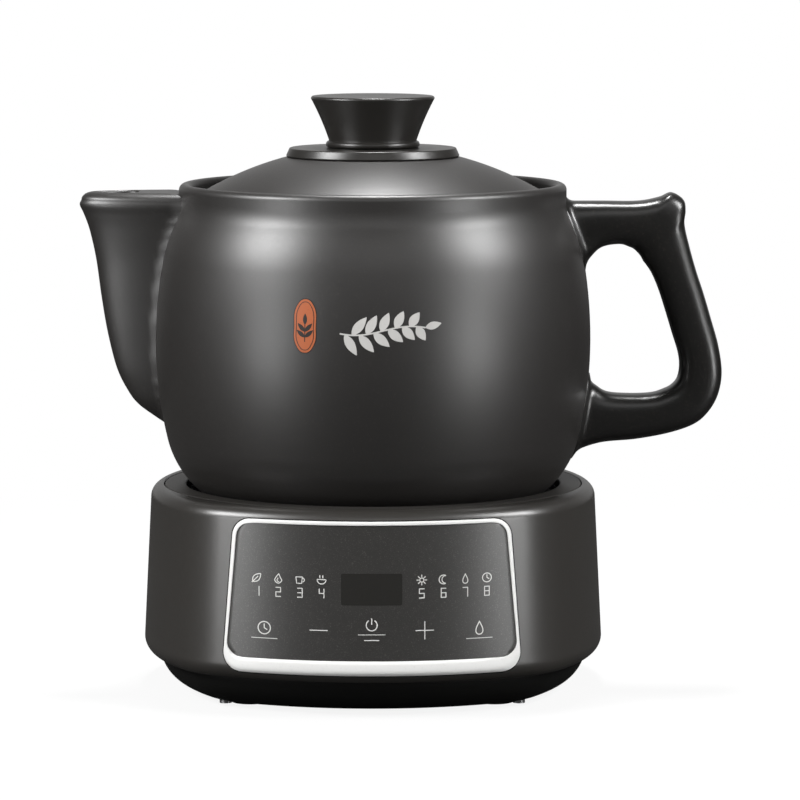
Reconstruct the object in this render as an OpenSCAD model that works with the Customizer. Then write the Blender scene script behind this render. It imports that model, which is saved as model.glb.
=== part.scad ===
// Electric pot for boiling herbs: a glazed stoneware pot with a spout, a loop
// handle and a loose lid, standing in the round well of a heated base.
// Millimetres, +Z up. The origin is on the base's upright axis, in the plane
// of its feet. The spout points to -X, the handle to +X, the panel to -Y.

/* [Base] */
// Radius of the long, flat arc of each side in plan
side_arc = 148; // [140:1:160]
// Half of the angle that each side's arc turns through
side_turn = 29; // [26:0.5:32]
// Height of the base's flat top
base_h = 97.8; // [94:0.2:104]
// Height of the widest line
wide_z = 24; // [23:0.5:27]
// How far the side wall leans in from the widest line to the top
lean = 3.4; // [2:0.2:5]
// Radius of the top edge
top_fillet = 6; // [4:0.5:7]
// Radius of the bottom edge
low_fillet = 8; // [7.5:0.5:10]
// Height of the parting line of the housing and the bottom shell
parting_z = 17.4; // [16.8:0.2:19]
// Wall of the housing
housing_wall = 2.6; // [2.2:0.1:3.2]
// Wall of the bottom shell
shell_wall = 2.4; // [2:0.1:3]
// Gap between the floor and the bottom shell, which the feet fill
shell_lift = 1.8; // [1.2:0.2:3]
// Step in from the housing's wall to the bottom shell's wall
shell_step = 3.4; // [3:0.2:5]

/* [Feet and screws] */
// Radius of a rubber foot
foot_r = 10; // [8:0.5:11]
// Distance of each foot inside the bottom screws
foot_in = 16; // [14:0.5:20]
// Radius of the screws' threads
screw_r = 1.5; // [1.2:0.1:1.8]
// Distance of the bottom screws inside the top's seam
post_in = 3.3; // [2.8:0.1:4]

/* [Well and heater] */
// Gap between the pot and the top ring
well_gap = 3.2; // [2.5:0.1:5]
// Width of the top ring, from the well to the seam
ring_w = 10.8; // [10.4:0.1:14]
// Width of the flat between the seam and the round top edge
shoulder = 0.3; // [0.3:0.1:2]
// Thickness of the top ring
ring_t = 4.8; // [4:0.2:6]
// Thickness of the steel dish
dish_t = 0.6; // [0.5:0.1:1]
// Depth of the steel dish below the top ring
dish_depth = 13; // [11:0.5:14]
// Distance of the hot plate's edge inside the well
plate_in = 15.5; // [13:0.5:20]
// Thickness of the hot plate
plate_t = 8.2; // [7:0.2:9]
// Distance of the heating tube inside the hot plate's edge
element_in = 25; // [22:0.5:28]
// Radius of the heating tube
element_r = 3.3; // [2.5:0.1:3.8]
// Radius of the sensor's cap
sensor_r = 11; // [9:0.5:12]
// Travel of the sensor's cap
sensor_travel = 2.5; // [1.5:0.5:3]

/* [Control panel] */
// Height of the panel's lower edge
panel_low = 21.2; // [20.4:0.2:24]
// Distance of the panel's upper edge below the base's top
panel_drop = 4.8; // [4.8:0.2:8]
// Half of the panel's width at its lower edge
panel_half = 70; // [66:0.5:70]
// How much narrower each half is at the upper edge
panel_draw = 5.6; // [2:0.2:8]
// Corner radius of the panel's trim
panel_corner = 8.7; // [6:0.1:12]
// Width of the bright trim at the sides and the top
trim_w = 1.9; // [1.4:0.1:3]
// Width of the bright trim at the bottom
trim_low_w = 7; // [3:0.5:9]
// How far the trim stands proud of the wall
trim_proud = 0.5; // [0.2:0.1:0.8]
// Thickness of the panel
panel_t = 0.6; // [0.5:0.1:1.4]
// Half of the display window's width
display_half = 14.2; // [10:0.2:16]
// Height of the display window
display_h = 14.8; // [10:0.2:16]
// Height of the display window's centre
display_z = 61.6; // [56:0.2:66]
// Height of the row of touch keys
key_z = 42.5; // [38:0.5:46]
// Distance between the touch keys
key_pitch = 24.9; // [22:0.1:26]
// Distance of the first program light from the middle
light_first = 23; // [20:0.5:26]
// Distance between the program lights
light_pitch = 10.2; // [8:0.1:10.5]

/* [Pot] */
// Radius of the pot at its widest
belly_r = 105.2; // [104:0.1:106]
// Height of the pot's widest line above its foot
belly_h = 83.5; // [80:0.5:88]
// Wall of the pot
pot_wall = 6; // [5:0.2:7]
// Thickness of the pot's floor
floor_t = 7; // [6:0.2:9]
// Radius of the big arc below the widest line
lower_arc = 205; // [190:1:220]
// Radius of the arc that turns in to the foot
foot_arc = 47; // [44:0.5:50]
// Radius of the big arc above the widest line
upper_arc = 226; // [200:1:240]
// Radius of the shoulder
shoulder_arc = 80; // [74:1:86]
// Radius of the hollow between the shoulder and the neck
neck_arc = 22; // [18:0.5:26]
// Height of the upright neck
neck_h = 4; // [3:0.2:6]
// Wall of the neck
neck_wall = 6; // [5.4:0.1:6.6]
// Width of the ledge that the lid stands on
ledge_w = 9; // [7:0.2:10]
// Radius of a strainer hole behind the spout
strainer_r = 2.5; // [1.5:0.1:3]

/* [Spout and handle] */
// Reach of the spout from the pot's axis
spout_reach = 141.4; // [138:0.2:146]
// Half of the spout's width at its top
spout_half = 20.5; // [17:0.2:22]
// Wall of the spout
spout_wall = 4.5; // [3.6:0.1:5]
// Rise of the spout's crowned top
spout_crown = 4.4; // [3:0.2:5]
// Radius of the mouth's round end
mouth_r = 6.6; // [5:0.1:8]
// Length of the mouth
mouth_l = 20; // [16:0.5:22]
// Half of the handle's thickness
handle_half = 11.5; // [9:0.1:13]
// Shift of the whole handle away from the pot
handle_out = 0; // [-2:0.2:4]

/* [Lid and knob] */
// Radius of the sphere of the lid's dome
dome_arc = 162; // [155:1:175]
// Wall of the lid
lid_wall = 5; // [4:0.2:6]
// Gap between the lid's edge and the neck
lid_gap = 1.2; // [0.8:0.1:2]
// Height of the lid's edge
lid_edge = 3.4; // [3:0.1:4.5]
// Height of the ring under the lid
skirt_h = 6.5; // [4:0.5:10]
// Radius of the knob's collar at its top
collar_r = 40.3; // [36:0.1:44]
// Thickness of the collar's rim
collar_t = 4.2; // [3.6:0.1:5]
// Radius of the flat on the lid that carries the collar
seat_r = 30; // [24:0.5:32]
// Radius of the knob's top
knob_r = 29.8; // [26:0.1:33]
// Radius of the knob's neck
knob_neck = 21.2; // [18:0.1:24]
// Height of the knob above the collar
knob_h = 24.9; // [21:0.1:30]
// Radius of the screw hole through the lid
lid_hole = 4.5; // [4:0.1:6]

/* [Power inlet] */
// Height of the inlet's centre
inlet_z = 44; // [40:0.5:50]
// Width of the inlet's flange
inlet_w = 34; // [32:0.5:36]
// Height of the inlet's flange
inlet_h = 26; // [25:0.5:28]

/* [Hidden] */
$fn = 72;
arc_step = 5;      // degrees between the points of an outline's arc
seat_gap = 0.3;    // between faces of pieces that lift or slide apart
fit_gap = 0.3;     // round pieces that drop into a recess
cut = 1;           // how far a cutting solid runs past what it cuts

// Heights that the heater and the pot share
ledge_top = base_h - ring_t;
ledge_t = 3.5;
plate_top = base_h - 14.1;
plate_low = plate_top - plate_t;
pot_z = plate_top + seat_gap;
bracket_t = 1.5;
bracket_top = plate_low - 15.5;
shell_floor = shell_lift + shell_wall;
panel_high = base_h - panel_drop;

// ---- outlines ---------------------------------------------------------

function polar(r, a) = [r * cos(a), r * sin(a)];
function reverse(v) = [for (i = [len(v) - 1:-1:0]) v[i]];
function steps(turn, step = arc_step) = max(1, ceil(abs(turn) / step));
// Points of an arc about c, from angle a to angle b
function arc(c, r, a, b, step = arc_step) = let (n = steps(b - a, step))
    [for (i = [0:n]) c + polar(r, a + (b - a) * i / n)];
// Corners of a convex outline, each rounded to radius r
function rounded(pts, r) = [
    for (i = [0:len(pts) - 1])
        let (p = pts[i], a = pts[(i + len(pts) - 1) % len(pts)] - p, b = pts[(i + 1) % len(pts)] - p,
             u = a / norm(a), v = b / norm(b), half = acos(u * v) / 2,
             c = p + (u + v) / norm(u + v) * r / sin(half), side = cross(u, v) > 0 ? 1 : -1,
             start = p + u * r / tan(half) - c, a0 = atan2(start[1], start[0]))
            for (q = arc(c, r, a0, a0 - side * (180 - 2 * half))) q];

// A walk along an outline: each step is [radius, turn], or [length, 0].
// It gives [point, heading] pairs, so that the same walk can be inset.
function walk_step(at, s) =
    s[1] == 0 ? [[at[0] + polar(s[0], at[1]), at[1]]] :
    let (side = sign(s[1]), c = at[0] + polar(s[0] * side, at[1] + 90), n = steps(s[1]))
        [for (i = [1:n]) [c - polar(s[0] * side, at[1] + s[1] * i / n + 90), at[1] + s[1] * i / n]];
function walk(at, list, i = 0) =
    i == len(list) ? [at] :
    let (part = walk_step(at, list[i])) concat([at], [for (k = [0:1:len(part) - 2]) part[k]],
                                               walk(part[len(part) - 1], list, i + 1));
function inset(path, t) = [for (s = path) s[0] + polar(t, s[1] + 90)];

// ---- the chain of sizes: the well fits the pot, and the base fits the well ----

belly = [belly_r, pot_z + belly_h];
shoulder_turns = [10, 15];
pot_down = walk([belly, -90], [[lower_arc, -13.5], [foot_arc, -56]]);
pot_up = walk([belly, 90], [[upper_arc, shoulder_turns[0]], [shoulder_arc, shoulder_turns[1]],
                            [neck_arc, -shoulder_turns[0] - shoulder_turns[1]], [neck_h, 0]]);
pot_outline = concat([for (s = reverse(pot_down)) if (s[0][1] > pot_z) s[0]], [for (s = pot_up) s[0]]);
function pot_r(z) = lookup(z, [for (p = pot_outline) [p[1], p[0]]]);
// to the nearest half millimetre
well_r = round(2 * (pot_r(base_h) + well_gap)) / 2;
seam_r = well_r + ring_w;
seam_gap = fit_gap;
base_half = seam_r + shoulder + top_fillet + lean;
post_ring = seam_r - post_in;
foot_ring = post_ring - foot_in;
plate_r = well_r - plate_in;
element_ring = plate_r - element_in;

// Plan of the base: four long arcs joined by four corner arcs
side_c = side_arc - base_half;
corner_arc = side_arc - side_c / (cos(side_turn) - sin(side_turn));

// The housing's outer skin, moved out by o, from the top flat to the parting
low_turn = asin((wide_z - parting_z) / low_fillet);
function skin(o, step = arc_step) = concat(
    arc([-lean - top_fillet, base_h - top_fillet], top_fillet + o, 90, 0, step),
    arc([-low_fillet, wide_z], low_fillet + o, 0, -low_turn, step));
// How far out the wall's face lies at height z, and the y of that face at x
function wall_d(z) = -lean * (z - wide_z) / (base_h - top_fillet - wide_z);
function face_y(x, z, o = 0) = sqrt(pow(side_arc + wall_d(z) + o, 2) - x * x) - side_c;

// ---- shapes used more than once ----------------------------------------

module ring(r_out, r_in, h) {
    difference() {
        cylinder(r = r_out, h = h);
        translate([0, 0, -cut]) cylinder(r = r_in, h = h + 2 * cut);
    }
}
// Joins rings of points into a solid, with a flat end on the first and last
// ring, or in a loop that closes on itself
module skin_rings(rings, loop = false) {
    n = len(rings[0]);
    m = len(rings);
    polyhedron([for (r = rings) each r], concat(
        [for (j = [0:m - (loop ? 1 : 2)], i = [0:n - 1])
            let (a = j * n + i, b = j * n + (i + 1) % n,
                 c = (j + 1) % m * n + (i + 1) % n, d = (j + 1) % m * n + i)
                each [[a, b, c], [a, c, d]]],
        loop ? [] : [for (i = [1:n - 2]) [0, i + 1, i]],
        loop ? [] : [for (i = [1:n - 2]) [(m - 1) * n, (m - 1) * n + i, (m - 1) * n + i + 1]]));
}
// A ring of points round the base at height z, d outside its widest line
side_steps = 10;
corner_steps = 4;
plan_angles = [for (k = [0:3], i = [0:side_steps + corner_steps - 1]) 90 * k - side_turn +
    (i < side_steps ? 2 * side_turn * i / side_steps
                    : 2 * side_turn + (90 - 2 * side_turn) * (i - side_steps) / corner_steps)];
function plan_at(a, d) =
    let (k = round(a / 90), b = a - 90 * k, corner = abs(b) > side_turn + 0.001,
         span = side_arc - corner_arc, c = [span * cos(side_turn) - side_c, sign(b) * span * sin(side_turn)],
         p = corner ? c + polar(corner_arc + d, b) : [-side_c, 0] + polar(side_arc + d, b))
        [p[0] * cos(90 * k) - p[1] * sin(90 * k), p[0] * sin(90 * k) + p[1] * cos(90 * k)];
function base_ring(d, z) = [for (a = plan_angles) let (p = plan_at(a, d)) [p[0], p[1], z]];
function base_rings(outline) = [for (p = outline) base_ring(p[0], p[1])];
// A layer of the front wall between two offsets of its skin
module front_layer(inner, outer) {
    translate([0, side_c, 0]) rotate(-90 - side_turn)
        rotate_extrude(angle = 2 * side_turn) translate([side_arc, 0])
            polygon(concat(skin(outer), reverse(skin(inner))));
}
// Runs an outline drawn on the XZ plane through the front wall
module through_front() {
    translate([0, -side_arc / 2, 0]) rotate([90, 0, 0]) linear_extrude(side_arc) children();
}
module at_corners(r) { for (a = [45:90:315]) rotate(a) translate([r, 0, 0]) children(); }
module screw(r, head_r, head_h, length) {
    cylinder(r = head_r, h = head_h);
    translate([0, 0, head_h]) cylinder(r = r, h = length);
}

// ---- base: housing and bottom shell --------------------------------------

post_r = 4.2;
post_low = shell_floor + 4;
rebate = 0.3;      // clearance round the panel and the bottom shell's lip
function panel_outline(edge, low) =
    let (w0 = panel_half - edge, w1 = panel_half - panel_draw - edge,
         z0 = panel_low + low, z1 = panel_high - edge)
        rounded([[-w0, z0], [w0, z0], [w1, z1], [-w1, z1]], panel_corner - edge);
module inlet_box(w, h, y0, y1) {
    translate([-w / 2, y0, inlet_z - h / 2]) cube([w, y1 - y0, h]);
}
inlet_body_w = inlet_w - 6;
inlet_body_h = inlet_h - 6;
inlet_face = face_y(0, inlet_z) - 0.2;
inlet_seat = inlet_face - 4.5;
inlet_pad_t = 4;
board_y = face_y(62, key_z) - housing_wall - 3.2;   // front face of the control board
board_t = 1.6;
board_half = 59;
board_low = 27;
board_high = 75;
board_screw_x = board_half - 4;
board_screw_z = [board_low + 4, board_high - 4];

shell_d = -low_fillet * (1 - cos(low_turn)) - shell_step - 0.6;

// The top's inner edge is round, where the top ring sits in it
function seam_ring(z) = [for (a = plan_angles) [seam_r * cos(a), seam_r * sin(a), z]];
module housing() color([0.23, 0.22, 0.21]) difference() {
    skin_rings(reverse(concat(
        [seam_ring(base_h)], base_rings(concat(skin(0, 10), reverse(skin(-housing_wall, 18)))),
        [seam_ring(base_h - housing_wall)])), loop = true);
    translate([-display_half + 1, -side_arc, display_z - display_h / 2 + 1])
        cube([2 * display_half - 2, side_arc, display_h - 2]);
    inlet_box(inlet_w + 2 * rebate, inlet_h + 2 * rebate, inlet_seat - 10, inlet_face + 10);
}

// The frame under the housing's top: it carries the top ring, the control
// board and the inlet, and its posts take the bottom screws
tab_w = 8;
tab_t = 3;
tab_x = board_half - tab_w / 2;
frame_out = seam_r + housing_wall;  // outer radius of the ring
frame_low = ledge_top - ledge_t;
plate_w = 2.4;                      // thickness of the plate that carries the inlet
pad_w = 16;                         // the pads that carry the top's corners
pad_d = 4;
post_bore = 14;
module housing_frame() color([0.2, 0.2, 0.2]) difference() {
    union() {
        translate([0, 0, frame_low]) ring(frame_out, well_r + 2.5, ledge_t);
        at_corners(seam_r + fit_gap) translate([0, -pad_w / 2, frame_low])
            cube([pad_d, pad_w, base_h - housing_wall - frame_low]);
        at_corners(post_ring) translate([0, 0, post_low])
            cylinder(r = post_r, h = frame_low - post_low + cut);
        for (x = [-tab_x, tab_x]) translate([x - tab_w / 2, board_t - board_y, board_low])
            cube([tab_w, tab_t, frame_low - board_low + cut]);
        inlet_box(inlet_w, inlet_h + 8, inlet_seat - inlet_pad_t, inlet_seat);
        translate([-inlet_w / 2, inlet_seat - inlet_pad_t, inlet_z])
            cube([inlet_w, plate_w, frame_low - inlet_z + cut]);
    }
    at_corners(post_ring) translate([0, 0, post_low - cut]) cylinder(r = screw_r, h = post_bore + cut);
    for (x = [-board_screw_x, board_screw_x], z = board_screw_z)
        translate([x, board_t - board_y - cut, z]) rotate([-90, 0, 0])
            cylinder(r = 1, h = tab_t - 0.6 + cut);
    inlet_box(inlet_body_w + 2 * rebate, inlet_body_h + 2 * rebate, inlet_seat - 20, inlet_seat + cut);
}

shell_arc = 17;
shell_c = [shell_d - shell_arc, shell_lift + shell_arc];
// a flange closes the gap to the housing, and a lip stands up inside it
lip_h = 6;
lip_low = 3;
frame_r = foot_ring + 2;        // outer radius of the inner frame
lip_d = skin(-housing_wall)[len(skin(0)) - 1][0] - rebate;
power_board_w = 70;
power_board_d = 36;
power_board_y = frame_r - 28;
power_board_z = shell_floor + 7;
stand_r = 3;
stand_x = power_board_w / 2 - 4;
stand_y = power_board_d / 2 - 4;
bracket_posts = [30, 150, 270];
bracket_post_ring = plate_r - 33;
bracket_boss_ring = plate_r - 13;
module at_stands() {
    for (x = [-stand_x, stand_x], y = [power_board_y - stand_y, power_board_y + stand_y])
        translate([x, y, 0]) children();
}
foot_sunk = 1;                  // how far the feet are let into the shell
head_r = 2.9;
head_h = 1.5;
head_seat = shell_lift + 1.2;   // height that the bottom screws' heads seat at
module at_posts(r) { for (a = bracket_posts) rotate(a) translate([r, 0, 0]) children(); }

module bottom_shell() color([0.07, 0.07, 0.07]) difference() {
    skin_rings(base_rings(concat(
        arc(shell_c, shell_arc, -90, asin((parting_z - lip_low - shell_c[1]) / shell_arc), 11),
        [[lip_d, parting_z - lip_low], [lip_d, parting_z + lip_h], [lip_d - shell_wall, parting_z + lip_h],
         [lip_d - shell_wall, parting_z - lip_low + shell_wall]],
        arc(shell_c, shell_arc - shell_wall, -5, -90, 17))));
    at_corners(foot_ring) translate([0, 0, shell_lift - cut])
        cylinder(r = foot_r + 0.1, h = cut + foot_sunk, $fn = 36);
    at_corners(post_ring) translate([0, 0, -cut]) cylinder(r = screw_r + fit_gap, h = 20, $fn = 24);
    at_corners(post_ring) translate([0, 0, -cut])
        cylinder(r = head_r + fit_gap, h = cut + head_seat, $fn = 24);
}

// The frame that stands on the shell's floor and carries the heater and board
frame_t = 2;
frame_in = 24;
ear_from = frame_r - 8;
ear_to = post_ring - 8;
ear_t = 1;
module inner_frame() color([0.85, 0.84, 0.8]) difference() {
    union() {
        translate([0, 0, shell_floor]) ring(frame_r, frame_in, frame_t);
        at_posts(bracket_post_ring) translate([0, 0, shell_floor])
            cylinder(r = 5, h = bracket_top - bracket_t - shell_floor);
        at_stands() translate([0, 0, shell_floor]) cylinder(r = stand_r, h = power_board_z - shell_floor);
        // ears that the bottom screws clamp under the housing's posts
        at_corners(ear_from) translate([0, -post_r, shell_floor])
            cube([ear_to - ear_from, 2 * post_r, post_low - shell_floor]);
        at_corners(ear_to - cut) translate([0, -post_r, post_low - ear_t])
            cube([post_ring - ear_to + cut, 2 * post_r, ear_t]);
        at_corners(post_ring) translate([0, 0, post_low - ear_t]) cylinder(r = post_r, h = ear_t);
    }
    at_corners(post_ring) translate([0, 0, post_low - ear_t - cut])
        cylinder(r = screw_r + fit_gap, h = ear_t + 2 * cut);
    at_posts(bracket_post_ring) translate([0, 0, bracket_top - bracket_t - 8])
        cylinder(r = screw_r, h = 10);
    at_stands() translate([0, 0, power_board_z - 4]) cylinder(r = 1.2, h = 6);
}

module rubber_feet() color([0.1, 0.1, 0.1]) at_corners(foot_ring)
    rotate_extrude() polygon([[0, 0], [foot_r - 1.6, 0], [foot_r - 0.6, 0.4], [foot_r - 0.2, 1.2],
                              [foot_r - 0.2, shell_lift + foot_sunk], [0, shell_lift + foot_sunk]]);

module bottom_screws() color("silver") at_corners(post_ring)
    translate([0, 0, head_seat - head_h]) screw(screw_r, head_r, head_h, 15);

// ---- base: well, hot plate and sensor --------------------------------------

module top_ring() color([0.30, 0.29, 0.28]) rotate_extrude() polygon([
    [well_r + 0.8, base_h], [seam_r - seam_gap - 0.8, base_h], [seam_r - seam_gap, base_h - 0.8],
    [seam_r - seam_gap, ledge_top], [well_r + 9, ledge_top], [well_r + 9, ledge_top + dish_t],
    [well_r, ledge_top + dish_t], [well_r, base_h - 0.8]]);

dish_in = well_r + 1;
dish_low = ledge_top + dish_t - dish_depth;
module well_dish() color([0.75, 0.75, 0.76]) rotate_extrude() polygon([
    [dish_in, ledge_top + dish_t], [well_r + 8.6, ledge_top + dish_t], [well_r + 8.6, ledge_top],
    [dish_in + dish_t, ledge_top], [dish_in + dish_t, dish_low], [plate_r + 0.6, dish_low],
    [plate_r + 0.6, dish_low + dish_t], [dish_in, dish_low + dish_t]]);

cap_hole = sensor_r + 0.4;
boss_r = 4.5;
module hot_plate() color([0.62, 0.62, 0.61]) difference() {
    union() {
        rotate_extrude() polygon([[cap_hole, plate_low], [plate_r - 1, plate_low], [plate_r, plate_low + 1],
            [plate_r, plate_top - 1.2], [plate_r - 1.2, plate_top], [cap_hole + 1, plate_top],
            [cap_hole, plate_top - 1]]);
        // the flange that the dish stands against
        translate([0, 0, dish_low - 1.6]) ring(plate_r + 3, plate_r - 1, 1.6);
        at_posts(bracket_boss_ring) translate([0, 0, bracket_top])
            cylinder(r = boss_r, h = plate_low - bracket_top + 1);
    }
    rotate_extrude() translate([element_ring, plate_low]) circle(r = element_r + 0.2);
    at_posts(bracket_boss_ring) translate([0, 0, bracket_top - cut]) cylinder(r = screw_r, h = 8 + cut);
}

element_open = 30;
module heating_element() color([0.35, 0.33, 0.31]) {
    rotate(90 + element_open / 2) rotate_extrude(angle = 360 - element_open)
        translate([element_ring, plate_low]) circle(r = element_r);
    for (side = [-1, 1]) rotate(90 + side * (element_open / 2 + 2))
        translate([element_ring, 0, plate_low - 16]) cylinder(r = element_r - 0.9, h = 16);
}

module plate_bracket() color([0.7, 0.7, 0.7]) translate([0, 0, bracket_top - bracket_t]) difference() {
    union() {
        cylinder(r = 20, h = bracket_t);
        for (a = bracket_posts) rotate(a) translate([0, -7, 0]) cube([bracket_boss_ring, 14, bracket_t]);
        at_posts(bracket_boss_ring) cylinder(r = 7, h = bracket_t);
    }
    for (r = [bracket_post_ring, bracket_boss_ring]) at_posts(r) translate([0, 0, -cut])
        cylinder(r = screw_r + 0.2, h = bracket_t + 2 * cut);
    translate([0, 0, -cut]) cylinder(r = 5, h = bracket_t + 2 * cut);
}

module bracket_screws() color("silver") {
    at_posts(bracket_boss_ring) translate([0, 0, bracket_top - bracket_t - 2]) screw(screw_r, 3, 2, 8);
    at_posts(bracket_post_ring) translate([0, 0, bracket_top + 2]) mirror([0, 0, 1])
        screw(screw_r, 3, 2, 8);
}

slide_gap = 0.08;
cap_wall = 1;
cap_low = plate_low - 4;
sleeve_out = sensor_r - cap_wall - slide_gap;
sleeve_wall = 1.2;
// the sleeve's end stops the cap at the end of its travel
sleeve_top = plate_top - cap_wall - sensor_travel - seat_gap;
module sensor_sleeve() color([0.8, 0.8, 0.78]) rotate_extrude() polygon([
    [5, bracket_top], [15, bracket_top], [15, bracket_top + 1.4], [sleeve_out, bracket_top + 1.4],
    [sleeve_out, sleeve_top], [sleeve_out - sleeve_wall, sleeve_top],
    [sleeve_out - sleeve_wall, bracket_top + 1.4], [5, bracket_top + 1.4]]);

spring_r = 6.4;
spring_wire = 0.6;
spring_turns = 6;
spring_low = bracket_top + 1.4 + spring_wire;
spring_high = plate_top - cap_wall - spring_wire;
spring_rings = 8 * spring_turns;
// The least space between two turns of the spring
echo(spring_gap = (spring_high - spring_low) / spring_turns - 2 * spring_wire);
module sensor_spring() color("silver") {
    points = [for (i = [0:spring_rings]) let (a = 360 * i / 8) for (k = [0:5])
        let (r = spring_r + spring_wire * cos(60 * k),
             z = spring_low + (spring_high - spring_low) * i / spring_rings + spring_wire * sin(60 * k))
            [r * cos(a), r * sin(a), z]];
    polyhedron(points, concat(
        [for (i = [0:spring_rings - 1], k = [0:5]) let (a = 6 * i + k, b = 6 * i + (k + 1) % 6) each
            [[a, b + 6, b], [a, a + 6, b + 6]]],
        [for (k = [1:4]) [0, k, k + 1]],
        [for (k = [1:4]) [6 * spring_rings, 6 * spring_rings + k + 1, 6 * spring_rings + k]]));
}

module sensor_cap() color([0.85, 0.85, 0.86]) rotate_extrude() polygon([
    [0, plate_top - cap_wall], [sensor_r - cap_wall, plate_top - cap_wall], [sensor_r - cap_wall, cap_low],
    [sensor_r + 2, cap_low], [sensor_r + 2, plate_low - seat_gap], [sensor_r, plate_low - seat_gap],
    [sensor_r, plate_top - 0.8], [sensor_r - 0.8, plate_top], [0, plate_top]]);

// ---- base: electric parts ---------------------------------------------------

module thermal_fuse() color("white") rotate(210) translate([30, 0, plate_low]) {
    mirror([0, 0, 1]) cylinder(r = 6, h = 5);
    translate([-4, -8, -6.5]) cube([8, 16, 1.5]);
}

parts_z = power_board_z + board_t;
module power_board() color([0.1, 0.35, 0.2]) difference() {
    translate([-power_board_w / 2, power_board_y - power_board_d / 2, power_board_z])
        cube([power_board_w, power_board_d, board_t]);
    at_stands() translate([0, 0, power_board_z - cut]) cylinder(r = 1.4, h = board_t + 2 * cut);
}
module relay() color([0.15, 0.2, 0.5]) translate([-27, power_board_y - 8, parts_z]) cube([20, 16, 15]);
module transformer() color([0.75, 0.65, 0.2]) translate([-2, power_board_y - 10, parts_z]) {
    cube([18, 20, 3]);
    translate([2, 2, 3]) cube([14, 16, 11]);
    translate([0, 0, 14]) cube([18, 20, 3]);
}
module capacitor() color([0.1, 0.1, 0.3]) translate([22, power_board_y + 8, parts_z])
    cylinder(r = 4, h = 12);
module terminal_block() color([0.2, 0.5, 0.3]) difference() {
    translate([18, power_board_y - 16, parts_z]) cube([10, 20, 11]);
    for (i = [0:2]) translate([23, power_board_y - 12.5 + 6.5 * i, parts_z + 6]) cylinder(r = 2, h = 6);
}
module power_board_screws() color("silver") at_stands()
    translate([0, 0, parts_z + 1.6]) mirror([0, 0, 1]) screw(1.2, 2.4, 1.6, 5);

socket_w = 24.4;
socket_h = 17;
socket_depth = 17;
pin_pitch = 14;
module power_inlet() color([0.06, 0.06, 0.06]) difference() {
    union() {
        inlet_box(inlet_w, inlet_h, inlet_seat, inlet_face);
        inlet_box(inlet_body_w, inlet_body_h, inlet_seat - 17, inlet_seat);
    }
    inlet_box(socket_w, socket_h, inlet_face - socket_depth, inlet_face + cut);
    at_inlet_pins() cube([2.4, 20, 4.4], center = true);
}
module at_inlet_pins() {
    for (x = [-pin_pitch / 2, pin_pitch / 2])
        translate([x, inlet_face - socket_depth, inlet_z - 3.4]) children();
    translate([0, inlet_face - socket_depth, inlet_z + 0.6]) children();
}
module inlet_pins() color([0.8, 0.75, 0.5]) at_inlet_pins()
    translate([0, -3, 0]) cube([2.4, 30, 4.4], center = true);

// ---- base: control panel ------------------------------------------------------

module control_panel() color([0.28, 0.28, 0.28]) difference() {
    intersection() {
        front_layer(0, panel_t);
        through_front() polygon(panel_outline(trim_w, trim_low_w));
    }
    through_front() translate([0, display_z]) square([2 * display_half, display_h], center = true);
}
module panel_trim() color([0.86, 0.86, 0.86]) intersection() {
    front_layer(0, panel_t + trim_proud);
    through_front() difference() {
        polygon(panel_outline(0, 0));
        polygon(panel_outline(trim_w, trim_low_w));
    }
}
module display_window() color([0.16, 0.16, 0.16]) intersection() {
    front_layer(0, panel_t);
    through_front() translate([0, display_z]) square([2 * display_half, display_h], center = true);
}

module display_module() color([0.12, 0.12, 0.12]) {
    depth = face_y(0, display_z + display_h / 2) - seat_gap - board_y;
    translate([-display_half + 2, -board_y - depth, display_z - display_h / 2 + 2])
        cube([2 * display_half - 4, depth, display_h - 4]);
}
module control_board() color([0.1, 0.35, 0.2]) difference() {
    translate([-board_half, -board_y, board_low]) cube([2 * board_half, board_t, board_high - board_low]);
    for (x = [-board_screw_x, board_screw_x], z = board_screw_z)
        translate([x, -board_y - cut, z]) rotate([-90, 0, 0]) cylinder(r = 1.2, h = board_t + 2 * cut);
}
touch_r = 3.4;
module touch_springs() color("gold") for (i = [-2:2]) let (x = i * key_pitch)
    translate([x, -board_y, key_z]) rotate([90, 0, 0])
        ring(touch_r, touch_r - 0.8, face_y(abs(x) + touch_r, key_z) - housing_wall - seat_gap - board_y);
module program_lights() color("white") for (side = [-1, 1], i = [0:3])
    let (x = light_first + i * light_pitch) translate([side * x, -board_y, display_z]) rotate([90, 0, 0])
        cylinder(r = 1.5, h = face_y(x + 1.5, display_z) - housing_wall - seat_gap - board_y);
module buzzer() color([0.08, 0.08, 0.08]) translate([-30, board_t - board_y, 50]) rotate([-90, 0, 0])
    ring(6, 1.2, 7);
module control_board_screws() color("silver") for (x = [-board_screw_x, board_screw_x], z = board_screw_z)
    translate([x, -1.4 - board_y, z]) rotate([-90, 0, 0]) screw(1, 2, 1.4, board_t + 1.8);

// ---- pot --------------------------------------------------------------------

neck = pot_up[len(pot_up) - 1][0];
neck_in = neck[0] - neck_wall;
rim_z = neck[1] + neck_wall / 2;
lid_z = neck[1] - 6.5;              // top of the ledge that carries the lid
ledge_in = neck_in - ledge_w;
foot_edge = pot_down[len(pot_down) - 1][0][0];
inner_down = [for (p = inset(pot_down, -pot_wall)) if (p[1] > pot_z + floor_t) p];
inner_up = [for (p = inset(pot_up, pot_wall)) if (p[1] < lid_z - ledge_w) p];

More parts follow.
